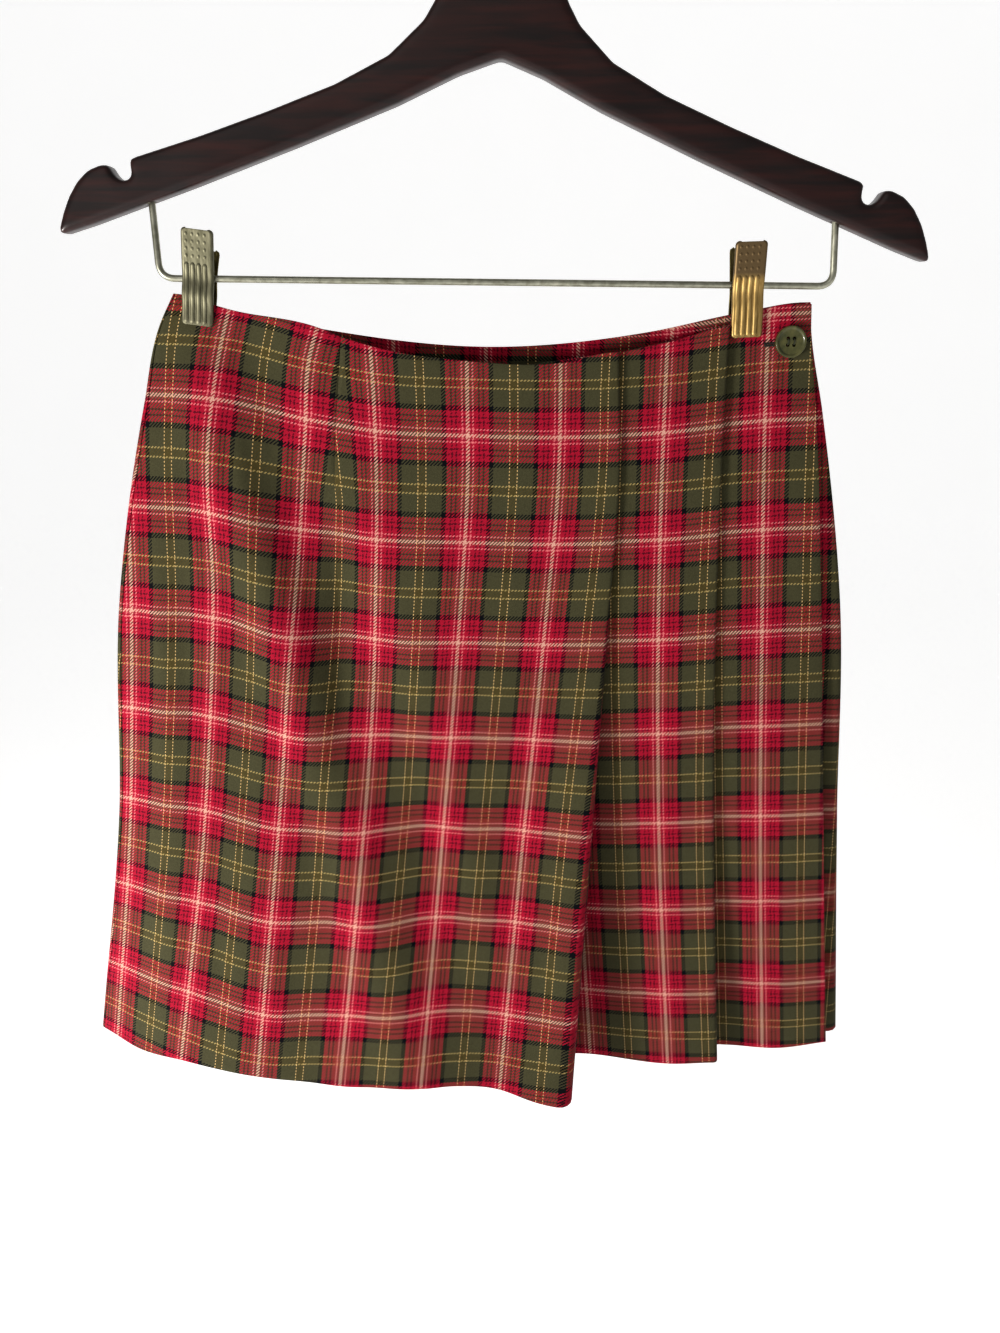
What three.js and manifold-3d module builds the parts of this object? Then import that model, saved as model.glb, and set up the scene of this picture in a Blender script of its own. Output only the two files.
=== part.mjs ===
// Tartan mini skirt, kilt style, gripped by the two clips of a wooden hanger.
// Millimetres, +Z up. The origin is the inner top of the hanger's hook, where a rail carries it.
// The wearer's front faces -Y and +X is to the right of a person who looks at that front.
import * as THREE from "three";
import { mergeVertices } from "three/addons/utils/BufferGeometryUtils.js";
import Module from "manifold-3d";

const wasm = await Module();
wasm.setup();

// ---------------------------------------------------------------------------
// Driving dimensions
// ---------------------------------------------------------------------------
const GAP = 0.3; // air between pieces that touch
const CLOTH = 1.2; // wall of the wool cloth
const LAYER = 1.8; // from the middle of one layer of a pressed pleat to the next
const WAIST_Z = -226; // waist level: drops below are measured down from here
const LEVELS = [0, 0.03, 0.12, 0.35, 0.65, 1]; // fractions of the way from waist edge to hem

// Lines that run down the skirt. x is across and y is depth, one value for each level;
// top and hem are the drops of the waist edge and of the hem on that line.
const APRON_LEFT = [
  // over the left clip
  {
    x: [-152.5, -157.5, -168, -186, -203, -231], y: [-0.9, -0.9, -3.8, -6.4, -11, -22],
    top: -0.5, hem: 453.5,
  },
  // flank
  {
    x: [-138.6, -143, -151.5, -160, -176.5, -201.5], y: [-1.1, -1.2, -5.2, -8.6, -15, -35],
    top: 3.4, hem: 450.5,
  },
  // left of the dart
  {
    x: [-93.5, -98, -103, -115, -131.8, -150.5], y: [-4.8, -5.2, -7.8, -10.6, -21, -48],
    top: 12, hem: 452,
  },
  // dart seam, and the soft valley that runs on below its tip
  {
    x: [-81.6, -83, -87, -92, -99.5, -116], y: [-4.4, -4.8, -6.6, -8.6, -19.2, -50],
    top: 16.5, hem: 454.5,
  },
  // right of the dart
  {
    x: [-66.6, -66, -65.7, -70.3, -81.5, -99], y: [-6.6, -7, -8.4, -10.8, -21.6, -52],
    top: 21, hem: 455.5,
  },
  // middle of the apron
  {
    x: [-17, -17, -17, -23.5, -34.7, -48.7], y: [-7.9, -8.1, -8.8, -10.8, -20.6, -54],
    top: 28.3, hem: 454,
  },
  {
    x: [31.1, 31.3, 31.4, 24.5, 13.3, -0.3], y: [-8.6, -8.7, -9.1, -10.7, -21.2, -55],
    top: 29.3, hem: 458.2,
  },
];
const APRON_MIDDLE = [
  { x: [72, 72, 74, 70.5, 62, 58], y: [-5.2, -5.3, -6.2, -7.2, -12, -22], top: 22.2, hem: 457 },
  { x: [92, 92, 93, 95.5, 101, 110], y: [-5.4, -5.5, -7.2, -8.8, -13.6, -31], top: 17.9, hem: 457 },
];
const APRON_RIGHT = [
  { x: [126.5, 126.7, 128, 133, 141, 151.5], y: [-1.8, -1.8, -4, -5.2, -7.6, -16], top: 7.2, hem: 455 },
  { x: [140, 141, 143, 152, 163, 176], y: [-1.8, -1.8, -4.6, -6, -9.2, -20], top: 1.9, hem: 454 },
  // wrap edge
  { x: [159, 160.2, 166.3, 180, 195, 211], y: [-1.8, -1.8, -4.6, -5.8, -9, -18.5], top: 0.8, hem: 450 },
];
// Knife pleats: x and y are of the pressed outer fold, depth is how far the cloth runs back
// behind it, open is how far the inner fold hangs behind its pressed place, round is the
// radius that the folds open to.
const PLEATS = [
  {
    x: [60.4, 61, 63, 59, 48.5, 42], y: [-8.9, -9, -9.4, -11.2, -25, -62], top: 24, hem: 463,
    depth: [45, 45, 45, 42, 34, 24], open: [0, 0, 0, 1, 7, 28], round: [0.9, 0.9, 0.9, 1.2, 2, 3.4],
  },
  {
    x: [117, 117, 117.4, 120.8, 128.5, 138.5], y: [-5.4, -5.4, -7.4, -8.8, -13.2, -31], top: 12, hem: 456,
    depth: [47, 47, 47, 46, 44, 41], open: [0, 0, 0, 0.4, 2, 9], round: [0.9, 0.9, 0.9, 1.1, 1.5, 2.4],
  },
];
// Side folds of the back panel: x is the outermost point, y the middle of the fold. The side
// seam runs down the front of the left one.
const LEFT_SIDE = {
  x: [-166, -174, -187.5, -214, -232, -263.5], y: [0, 0, 0, 0, 0, 0], top: -4, hem: 451.5,
  round: [0.9, 0.9, 2.4, 3, 3.4, 4.2],
};
const RIGHT_SIDE = {
  x: [158.6, 160.4, 170.5, 192, 205.8, 223], y: [0.9, 0.9, 0.7, 0.6, 0.6, 1], top: 0, hem: 452,
  round: [0.9, 0.9, 1.3, 2.6, 4, 7],
};
const BACK = [
  // over the left clip
  { x: [-148, -152, -160, -176, -190, -214], y: [0.9, 0.9, 4, 7, 10, 15], top: 1.2, hem: 449 },
  { x: [-85, -87, -92, -102, -112, -128], y: [4.6, 4.8, 6.6, 9, 13.4, 22], top: 14.3, hem: 447 },
  // middle of the back
  { x: [-5, -5, -6, -7, -8, -12], y: [6.6, 6.7, 7.6, 9.6, 14.4, 25], top: 22, hem: 446 },
  { x: [75, 76, 80, 88, 98, 108], y: [4.6, 4.8, 6.2, 8.6, 12.4, 21], top: 15, hem: 447 },
  // over the right clip
  { x: [124, 124.5, 130, 146, 160, 174], y: [1.8, 1.8, 4, 6.6, 9.2, 14], top: 5, hem: 449 },
];
const UNDERLAP = [
  { x: [146, 147, 152, 167, 183, 199], y: [0, 0, -1.6, -1.6, -2.6, -7.5], top: 4, hem: 452 },
  // hidden edge under the apron
  { x: [109, 110, 115, 127, 140, 153], y: [0, 0, -1.4, -1.2, -2.2, -9.5], top: 14, hem: 453 },
];
// Soft standing folds of the front: x at waist and hem, half width, height towards the
// viewer, and the levels between which the fold fades in and out.
const WAVES = [
  { waistX: -134, hemX: -158, half: 24, rise: -2.2, from: 0.04, to: 0.42 },
  { waistX: -112, hemX: -128, half: 20, rise: 1.6, from: 0.06, to: 0.5 },
  { waistX: -58, hemX: -70, half: 26, rise: 1.2, from: 0.1, to: 0.8 },
  { waistX: 8, hemX: -22, half: 26, rise: -1.6, from: 0.3, to: 0.95 },
];
// Fractions of the way down at which the walls are lofted, closer where the clips pinch.
const ROWS = [0, 0.03, 0.065, 0.12, 0.18, 0.25, 0.33, 0.41, 0.49, 0.57, 0.65, 0.72, 0.79, 0.86, 0.93, 1];

// The button: its place on the apron, then its radius, the width and the rounding of its rim,
// its thickness, how deep its face is dished, and the radius and half spacing of its holes.
const BUTTON = {
  x: 149.4, drop: 19.2, radius: 7.9, rim: 1.7, round: 0.8, thick: 3.2, dish: 1.1, hole: 0.9, pitch: 1.5,
};
const BUTTON_STAND = 0.4; // air under the button, where its thread holds it off the cloth

const HANGER_TILT = THREE.MathUtils.degToRad(1.7); // the wood hangs lower on the right
const HANGER_SHIFT = 4; // and a little to the right
const WOOD_THICK = 13;
const WOOD_BEVEL = 1.6;
// Half outline of the wood: distance from the middle and height, along the lower edge, up the
// round tip, through the notch for a strap and back along the upper edge to the crown.
const WOOD_LOWER = [
  [0, -118], [20, -125], [49, -138.5], [98, -158], [148, -177], [199, -195.5], [216.5, -201.2],
];
const WOOD_TIP = [
  [216.8, -198.5], [214, -191], [210.4, -183.5], [205.5, -176.5], [199.7, -171.4], [193.3, -168.8],
];
const WOOD_NOTCH = [
  [189.5, -168.6], [187.4, -172.8], [184.2, -175.6], [180.9, -175.6], [178.5, -172.8], [179.4, -166.6],
];
const WOOD_UPPER = [
  [177.7, -165.4], [144.4, -154.9], [111.5, -143.4], [78.7, -131], [53, -118.2], [36.6, -103.6],
];
const WOOD_CROWN = [[30.5, -94], [26.5, -82], [20.5, -73], [11, -68.6], [0, -67.5]];

const CROWN_TOP = WOOD_CROWN[WOOD_CROWN.length - 1][1];

const WIRE_SIDES = 8; // sides of a wire and of the holes drilled for it
const WIRE_HOOK = 2; // radius of the hook's wire
const HOOK_INNER = 20; // inner radius of the hook
const HOOK_SINK = 14; // how far the shank goes into the crown
const HOOK_RISE = 12; // straight part of the shank above the crown
const HOOK_SWING = 10; // reach of the lower and of the upper bend between shank and round
const HOOK_DIP = 18;
const HOOK_TURN = 200; // degrees of the round over the rail
const DRILL_EXTRA = 2; // how far a drilled hole runs past the wood's surface
const WIRE_BAR = 1.7; // radius of the trouser bar's wire
// Trouser bar: the middle line of its two legs and of the straight wire between them.
const BAR = {
  left: { topX: -172.6, x: -172.6, z: -214.6 },
  right: { topX: 166.3, x: 169.4, z: -218.4 },
  bend: 8,
  topZ: -174, // upper end of the legs, inside the wood
};

// Clips: where each hangs on the bar, its lean, the layers of cloth that it grips, and how
// much lower the tab at the back ends; low is how far the clip has slid down on the bar.
const CLIPS = {
  left: { x: -152.4, lean: THREE.MathUtils.degToRad(7), low: 0, layers: 2, backDown: 9 },
  right: { x: 125.6, lean: THREE.MathUtils.degToRad(-2), low: 2.6, layers: 3, backDown: 2.2 },
};
// A plate's width, its reach above and below the bar, how far its tab leans out, its thickness.
const CLIP = { width: 15.2, above: 22.8, below: 22.4, spread: 8, sheet: 1 };
const PAD = { width: 14, high: 8.5, thick: 1.3 };
const SPRING = { outer: 3.7, inner: 2.5, long: 7 };
const PAD_RAISE = 0.6; // from the plate's lower edge to the pad's

const COLOURS = {
  tartan: 0x7d3228,
  wood: 0x35150f,
  steel: 0xb9bcc0,
  clipSteel: 0x8d9094,
  clipBrass: 0xc2a25c,
  rubber: 0x141414,
  button: 0x5f6a35,
};

// ---------------------------------------------------------------------------
// Curves in the plane of a section
// ---------------------------------------------------------------------------
// Value at t of a smooth curve through (knots[i], values[i]).
function smooth(knots, values, t) {
  let i = 0;
  while (i < knots.length - 2 && t > knots[i + 1]) i += 1;
  const width = knots[i + 1] - knots[i];
  const rise = (k) => (values[k + 1] - values[k]) / (knots[k + 1] - knots[k]);
  const slope = (k) => {
    if (k === 0) return rise(0);
    if (k === knots.length - 1) return rise(k - 1);
    const before = knots[k] - knots[k - 1];
    const after = knots[k + 1] - knots[k];
    return (rise(k - 1) * after + rise(k) * before) / (before + after);
  };
  const u = (t - knots[i]) / width;
  const start = values[i] * (1 + 2 * u) * (1 - u) ** 2 + values[i + 1] * u * u * (3 - 2 * u);
  return start + width * (slope(i) * u * (1 - u) ** 2 + slope(i + 1) * u * u * (u - 1));
}

// A line's point at level t.
function at(line, t) {
  return { x: smooth(LEVELS, line.x, t), y: smooth(LEVELS, line.y, t), top: line.top, hem: line.hem };
}

const headingOf = (a, b) => Math.atan2(b.y - a.y, b.x - a.x);

const LEAD = 0.02; // length of the lead that sets a heading, as a share of its span

// Evenly spread points of a smooth curve through key points, with set headings at the ends.
function through(keys, steps, startHeading, endHeading) {
  const along = [0];
  for (let i = 1; i < keys.length; i += 1) {
    along.push(along[i - 1] + Math.hypot(keys[i].x - keys[i - 1].x, keys[i].y - keys[i - 1].y));
  }
  const last = keys.length - 1;
  const knots = [...along];
  const points = [...keys];
  // A short lead at each end sets the heading there.
  if (endHeading !== undefined) {
    const end = keys[last];
    const step = LEAD * (along[last] - along[last - 1]);
    knots.splice(last, 0, along[last] - step);
    const x = end.x - step * Math.cos(endHeading);
    const y = end.y - step * Math.sin(endHeading);
    points.splice(last, 0, { ...end, x, y });
  }
  if (startHeading !== undefined) {
    const step = LEAD * along[1];
    knots.splice(1, 0, step);
    const x = keys[0].x + step * Math.cos(startHeading);
    const y = keys[0].y + step * Math.sin(startHeading);
    points.splice(1, 0, { ...keys[0], x, y });
  }
  const curve = (name, s) => smooth(knots, points.map((p) => p[name]), s);
  return Array.from({ length: steps + 1 }, (_, i) => {
    const s = (along[last] * i) / steps;
    return { x: curve("x", s), y: curve("y", s), top: curve("top", s), hem: curve("hem", s) };
  });
}

// Point of a round turn where the cloth has a given heading; side is 1 for a turn to the
// left and -1 for a turn to the right.
function onTurn(centre, radius, heading, side) {
  return {
    ...centre,
    x: centre.x + side * radius * Math.sin(heading),
    y: centre.y - side * radius * Math.cos(heading),
    heading,
  };
}

function turn(centre, radius, from, to, steps, side) {
  const headingAt = (i) => from + ((to - from) * i) / steps;
  return Array.from({ length: steps + 1 }, (_, i) => onTurn(centre, radius, headingAt(i), side));
}

// Depth of a section at a given x.
function depthAt(points, x) {
  const i = points.findIndex((p, k) => k > 0 && points[k - 1].x <= x && p.x >= x);
  const share = (x - points[i - 1].x) / (points[i].x - points[i - 1].x);
  return points[i - 1].y + share * (points[i].y - points[i - 1].y);
}

// Waist and hem drops of a section at a given x.
function edgesAt(points, x) {
  const next = points.find((p) => p.x >= x);
  return { top: next.top, hem: next.hem };
}

// Keeps the top and hem of a hidden layer from showing past the panel in front of it.
function tuck(points, panel) {
  const end = panel[panel.length - 1].x;
  return points.map((p) => {
    if (p.x > end || p.x < panel[0].x) return p;
    const front = edgesAt(panel, p.x);
    return { ...p, top: Math.max(p.top, front.top), hem: Math.min(p.hem, front.hem) };
  });
}

const bump = (u) => (Math.abs(u) < 1 ? Math.cos((u * Math.PI) / 2) ** 2 : 0);

// Adds the soft standing folds to points of the front.
function wave(points, t) {
  return points.map((p) => {
    let y = p.y;
    for (const w of WAVES) {
      const middle = w.waistX + (w.hemX - w.waistX) * t;
      const fade = bump((2 * (t - w.from)) / (w.to - w.from) - 1);
      y -= w.rise * fade * bump((p.x - middle) / w.half);
    }
    return { ...p, y };
  });
}

// ---------------------------------------------------------------------------
// Sections of the cloth, seen from above, at level t
// ---------------------------------------------------------------------------
const FOLD_STEPS = 4; // steps round a fold
const STEPS = { left: 26, middle: 12, right: 13, back: 22, hidden: 6 }; // steps across each panel

// A side fold: its middle and radius.
function sideFold(line, t) {
  const radius = smooth(LEVELS, line.round, t);
  const edge = at(line, t);
  return { radius, centre: { ...edge, x: edge.x - Math.sign(edge.x) * radius } };
}

// The left side seam: where the apron's cloth meets the side fold, and its heading there,
// outwards.
function sideSeam(t) {
  const { radius, centre } = sideFold(LEFT_SIDE, t);
  const first = at(APRON_LEFT[0], t);
  const away = Math.hypot(centre.x - first.x, centre.y - first.y);
  const heading = ((headingOf(first, centre) + Math.asin(radius / away)) + 2 * Math.PI) % (2 * Math.PI);
  return { heading, point: onTurn(centre, radius, heading, -1) };
}

// The front apron: side seam, dart, two knife pleats and the free wrap edge.
function apronSection(t) {
  const panels = [
    { lines: APRON_LEFT, steps: STEPS.left },
    { lines: APRON_MIDDLE, steps: STEPS.middle },
    { lines: APRON_RIGHT, steps: STEPS.right },
  ];
  const path = [];
  let inFront;
  const seam = sideSeam(t);
  let start = [seam.point];
  let startHeading = seam.heading - Math.PI;
  panels.forEach(({ lines, steps }, i) => {
    const keys = [...start, ...lines.map((line) => at(line, t))];
    const pleat = PLEATS[i];
    if (!pleat) {
      path.push(...tuck(through(keys, steps, startHeading), inFront));
      return;
    }
    const radius = smooth(LEVELS, pleat.round, t);
    const fold = at(pleat, t);
    const end = { ...fold, x: fold.x - radius };
    const endHeading = headingOf(keys[keys.length - 1], end);
    const panel = wave(through([...keys, end], steps, startHeading, endHeading), t);
    panel[0].heading = startHeading;
    path.push(...(inFront ? tuck(panel, inFront) : panel));
    // The cloth turns back behind the panel, runs in by the pleat's depth and turns again.
    const outer = {
      ...end,
      x: end.x - radius * Math.sin(endHeading),
      y: end.y + radius * Math.cos(endHeading),
    };
    const innerX = fold.x - smooth(LEVELS, pleat.depth, t) + radius;
    const innerY = depthAt(panel, innerX) + 3 * radius + smooth(LEVELS, pleat.open, t);
    const inner = { ...edgesAt(panel, innerX), x: innerX, y: innerY };
    const span = Math.hypot(inner.x - outer.x, inner.y - outer.y);
    const back = headingOf(outer, inner) + Math.asin((2 * radius) / span);
    path.push(...turn(outer, radius, endHeading, back, FOLD_STEPS, 1).slice(1));
    const next = at(panels[i + 1].lines[0], t);
    startHeading = headingOf(onTurn(inner, radius, 0, -1), next);
    const inTurn = turn(inner, radius, back, startHeading, FOLD_STEPS, -1);
    path.push(...through([path[path.length - 1], inTurn[0]], STEPS.hidden).slice(1, -1));
    path.push(...inTurn.slice(0, -1));
    start = [inTurn[FOLD_STEPS]];
    inFront = panel;
  });
  return path;
}

// The back panel: from the side seam round the left side, across the back, round the right
// side and in under the apron.
function backSection(t) {
  const left = sideFold(LEFT_SIDE, t);
  const right = sideFold(RIGHT_SIDE, t);
  const back = BACK.map((line) => at(line, t));
  const under = UNDERLAP.map((line) => at(line, t));
  const inHeading = sideSeam(t).heading - GAP / left.radius;
  const leftOut = headingOf(onTurn(left.centre, left.radius, 0, -1), back[0]);
  const leftTurn = turn(left.centre, left.radius, inHeading, leftOut, FOLD_STEPS, -1);
  const rightIn = headingOf(back[back.length - 1], onTurn(right.centre, right.radius, 0, -1));
  const rightAhead = headingOf(onTurn(right.centre, right.radius, -Math.PI, -1), under[0]);
  const rightOut = rightAhead > 0 ? rightAhead - 2 * Math.PI : rightAhead;
  const rightTurn = turn(right.centre, right.radius, rightIn, rightOut, FOLD_STEPS, -1);
  return [
    ...leftTurn,
    ...through([leftTurn[FOLD_STEPS], ...back, rightTurn[0]], STEPS.back, leftOut, rightIn).slice(1),
    ...rightTurn.slice(1),
    ...through([rightTurn[FOLD_STEPS], ...under], STEPS.hidden, rightOut).slice(1),
  ];
}

// ---------------------------------------------------------------------------
// Geometry helpers
// ---------------------------------------------------------------------------
function closed(positions, triangles) {
  const geometry = new THREE.BufferGeometry();
  geometry.setAttribute("position", new THREE.Float32BufferAttribute(positions, 3));
  geometry.setIndex(triangles);
  return faceOut(geometry);
}

// Turns the faces round if they point inwards.
function faceOut(geometry) {
  const p = geometry.getAttribute("position");
  const index = geometry.getIndex();
  let volume = 0;
  const [a, b, c] = [new THREE.Vector3(), new THREE.Vector3(), new THREE.Vector3()];
  for (let i = 0; i < index.count; i += 3) {
    a.fromBufferAttribute(p, index.getX(i));
    b.fromBufferAttribute(p, index.getX(i + 1));
    c.fromBufferAttribute(p, index.getX(i + 2));
    volume += a.dot(b.cross(c));
  }
  if (volume < 0) {
    for (let i = 0; i < index.count; i += 3) {
      const second = index.getX(i + 1);
      index.setX(i + 1, index.getX(i + 2));
      index.setX(i + 2, second);
    }
  }
  return geometry;
}

const dropZ = (p, t) => WAIST_Z - (p.top + (p.hem - p.top) * t);

// A wall of even thickness on the middle lines that section(t) gives at each row.
function wall(section) {
  const positions = [];
  const half = CLOTH / 2;
  let count = 0;
  for (const t of ROWS) {
    const path = section(t);
    count = path.length;
    path.forEach((p, i) => {
      const before = path[Math.max(i - 1, 0)];
      const after = path[Math.min(i + 1, count - 1)];
      const heading = p.heading ?? headingOf(before, after);
      const nx = half * Math.sin(heading);
      const ny = -half * Math.cos(heading);
      const z = dropZ(p, t);
      positions.push(p.x + nx, p.y + ny, z, p.x - nx, p.y - ny, z);
    });
  }
  const outer = (row, i) => 2 * (row * count + i);
  const inner = (row, i) => outer(row, i) + 1;
  const triangles = [];
  const quad = (a, b, c, d) => triangles.push(a, b, c, a, c, d);
  const last = count - 1;
  const bottom = ROWS.length - 1;
  for (let row = 0; row < bottom; row += 1) {
    for (let i = 0; i < last; i += 1) {
      quad(outer(row, i), outer(row + 1, i), outer(row + 1, i + 1), outer(row, i + 1));
      quad(inner(row, i), inner(row, i + 1), inner(row + 1, i + 1), inner(row + 1, i));
    }
    quad(outer(row, 0), inner(row, 0), inner(row + 1, 0), outer(row + 1, 0));
    quad(outer(row, last), outer(row + 1, last), inner(row + 1, last), inner(row, last));
  }
  for (let i = 0; i < last; i += 1) {
    quad(outer(0, i), outer(0, i + 1), inner(0, i + 1), inner(0, i));
    quad(outer(bottom, i), inner(bottom, i), inner(bottom, i + 1), outer(bottom, i + 1));
  }
  return closed(positions, triangles);
}

function merged(geometry) {
  const copy = geometry.clone();
  copy.deleteAttribute("normal");
  copy.deleteAttribute("uv");
  return mergeVertices(copy, 1e-4);
}

function toManifold(geometry) {
  const mesh = merged(geometry);
  return new wasm.Manifold(
    new wasm.Mesh({
      numProp: 3,
      vertProperties: new Float32Array(mesh.getAttribute("position").array),
      triVerts: new Uint32Array(mesh.getIndex().array),
    }),
  );
}

// The first solid with the others cut away.
function cut(geometry, ...tools) {
  let solid = toManifold(geometry);
  for (const tool of tools) solid = solid.subtract(toManifold(tool));
  const mesh = solid.getMesh();
  return closed([...mesh.vertProperties], [...mesh.triVerts]);
}

// A flat outline in X and Z, given a thickness in Y about the middle plane.
function slab(shape, thick, bevel = 0) {
  const geometry = new THREE.ExtrudeGeometry(shape, {
    depth: thick - 2 * bevel,
    bevelEnabled: bevel > 0,
    bevelThickness: bevel,
    bevelSize: bevel,
    bevelOffset: -bevel,
    bevelSegments: 2,
    curveSegments: 6,
  });
  geometry.translate(0, 0, bevel - thick / 2);
  geometry.rotateX(Math.PI / 2);
  return merged(geometry);
}

// A round wire along a path in the X and Z plane.
function wire(path, radius, steps) {
  const section = new THREE.Shape();
  for (let i = 0; i < WIRE_SIDES; i += 1) {
    const angle = (2 * Math.PI * (i + 0.5)) / WIRE_SIDES;
    section[i ? "lineTo" : "moveTo"](radius * Math.cos(angle), radius * Math.sin(angle));
  }
  section.closePath();
  return merged(new THREE.ExtrudeGeometry(section, { steps, extrudePath: path }));
}

const flat = (x, z) => new THREE.Vector3(x, 0, z);

function add(group, name, geometry, colour, roughness, metalness) {
  const material = new THREE.MeshStandardMaterial({ color: colour, roughness, metalness });
  const mesh = new THREE.Mesh(geometry, material);
  mesh.name = name;
  group.add(mesh);
  return mesh;
}

// ---------------------------------------------------------------------------
// Cloth and button
// ---------------------------------------------------------------------------
const skirt = new THREE.Group();
add(skirt, "front_apron", wall(apronSection), COLOURS.tartan, 0.85, 0);
add(skirt, "back_panel", wall(backSection), COLOURS.tartan, 0.85, 0);

// The place and tilt of the apron's right panel at a given x and drop.
function onApron(x, drop) {
  const point = (dx, dDrop) => {
    const panel = (t) => apronSection(t).slice(-STEPS.right);
    let t = LEVELS[1];
    for (let tries = 0; tries < 6; tries += 1) {
      const near = panel(t).reduce((a, b) => (Math.abs(b.x - x) < Math.abs(a.x - x) ? b : a));
      t = (drop + dDrop - near.top) / (near.hem - near.top);
    }
    return new THREE.Vector3(x + dx, depthAt(panel(t), x + dx), WAIST_Z - drop - dDrop);
  };
  const centre = point(0, 0);
  const across = point(BUTTON.radius, 0).sub(point(-BUTTON.radius, 0));
  const down = point(0, BUTTON.radius).sub(point(0, -BUTTON.radius));
  return { centre, outward: down.cross(across).normalize() };
}

// A four-hole button: a dished disc with a raised rim.
function buttonGeometry() {
  const { radius, rim, round, thick, dish, hole, pitch } = BUTTON;
  const profile = [
    [0, 0],
    [radius - round, 0],
    [radius, round],
    [radius, thick - round],
    [radius - round, thick],
    [radius - rim, thick],
    [radius - rim - round, thick - dish],
    [0, thick - dish],
  ].map(([r, h]) => new THREE.Vector2(r, h));
  const disc = new THREE.LatheGeometry(profile, 28);
  const holes = [];
  for (const sx of [-1, 1]) {
    for (const sz of [-1, 1]) {
      const drill = new THREE.CylinderGeometry(hole, hole, 3 * thick, 8);
      drill.translate(sx * pitch, 0, sz * pitch);
      holes.push(drill);
    }
  }
  return cut(faceOut(merged(disc)), ...holes);
}

const seat = onApron(BUTTON.x, BUTTON.drop);
const button = add(skirt, "button", buttonGeometry(), COLOURS.button, 0.4, 0);
button.quaternion.setFromUnitVectors(new THREE.Vector3(0, 1, 0), seat.outward);
button.position.copy(seat.centre).addScaledVector(seat.outward, CLOTH / 2 + BUTTON_STAND);

// ---------------------------------------------------------------------------
// Wooden hanger with its hook and trouser bar
// ---------------------------------------------------------------------------
const hanger = new THREE.Group();
hanger.rotation.y = HANGER_TILT;
hanger.position.x = HANGER_SHIFT;

function woodGeometry() {
  const half = [...WOOD_LOWER, ...WOOD_TIP, ...WOOD_NOTCH, ...WOOD_UPPER, ...WOOD_CROWN];
  const mirror = half.slice(1, -1).reverse().map(([x, z]) => [-x, z]);
  const outline = [...half, ...mirror].map(([x, z]) => new THREE.Vector2(x, z));
  const board = faceOut(slab(new THREE.Shape(outline), WOOD_THICK, WOOD_BEVEL));
  const depth = 2 * (HOOK_SINK + GAP);
  const shank = new THREE.CylinderGeometry(WIRE_HOOK + GAP, WIRE_HOOK + GAP, depth, WIRE_SIDES);
  shank.rotateX(Math.PI / 2);
  shank.translate(0, 0, CROWN_TOP);
  return { board, shank };
}

// The hook: a shank out of the crown, a swing to the right and a round over the rail.
function hookPath() {
  const round = HOOK_INNER + WIRE_HOOK;
  const crown = CROWN_TOP;
  const path = new THREE.CurvePath();
  const rise = crown + HOOK_RISE;
  path.add(new THREE.LineCurve3(flat(0, crown - HOOK_SINK), flat(0, rise)));
  const swing = [
    flat(0, rise),
    flat(0, rise + HOOK_SWING),
    flat(round, -HOOK_INNER - HOOK_DIP),
    flat(round, -HOOK_INNER),
  ];
  path.add(new THREE.CubicBezierCurve3(...swing));
  const arc = [];
  for (let degrees = 0; degrees <= HOOK_TURN; degrees += 20) {
    const angle = THREE.MathUtils.degToRad(degrees);
    arc.push(flat(round * Math.cos(angle), -HOOK_INNER + round * Math.sin(angle)));
  }
  path.add(new THREE.CatmullRomCurve3(arc));
  return path;
}

// The bar: a leg up into the wood at each end, and a straight wire between.
function barPath() {
  const { left, right, bend, topZ } = BAR;
  const path = new THREE.CurvePath();
  const leftTop = flat(left.topX, topZ);
  const leftCorner = flat(left.x, left.z);
  const rightCorner = flat(right.x, right.z);
  const rightTop = flat(right.topX, topZ);
  const towards = (from, to) => from.clone().add(to.clone().sub(from).setLength(bend));
  const straight = (from, to) => path.add(new THREE.LineCurve3(from, to));
  const round = (before, corner, after) => {
    path.add(new THREE.QuadraticBezierCurve3(towards(corner, before), corner, towards(corner, after)));
  };
  straight(leftTop, towards(leftCorner, leftTop));
  round(leftTop, leftCorner, rightCorner);
  straight(towards(leftCorner, rightCorner), towards(rightCorner, leftCorner));
  round(leftCorner, rightCorner, rightTop);
  straight(towards(rightCorner, rightTop), rightTop);
  return path;
}

const { board, shank } = woodGeometry();
hanger.updateMatrixWorld(true);
const toHanger = hanger.matrixWorld.clone().invert();
// A hole for a leg, open at the wood's underside, along the leg's own line.
const legHole = ({ topX, x, z }) => {
  const length = BAR.topZ - z + DRILL_EXTRA;
  const hole = new THREE.CylinderGeometry(WIRE_BAR + GAP, WIRE_BAR + GAP, length, WIRE_SIDES);
  hole.rotateX(Math.PI / 2);
  hole.translate(0, 0, -length / 2 + GAP);
  hole.rotateY(Math.atan2(topX - x, BAR.topZ - z));
  hole.translate(topX, 0, BAR.topZ);
  return hole.applyMatrix4(toHanger);
};
add(hanger, "hanger_wood", cut(board, shank, legHole(BAR.left), legHole(BAR.right)), COLOURS.wood, 0.35, 0);
add(hanger, "hanger_hook", faceOut(wire(hookPath(), WIRE_HOOK, 40)), COLOURS.steel, 0.25, 1);
const barGroup = new THREE.Group();
add(barGroup, "hanger_bar", faceOut(wire(barPath(), WIRE_BAR, 48)), COLOURS.steel, 0.25, 1);

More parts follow.
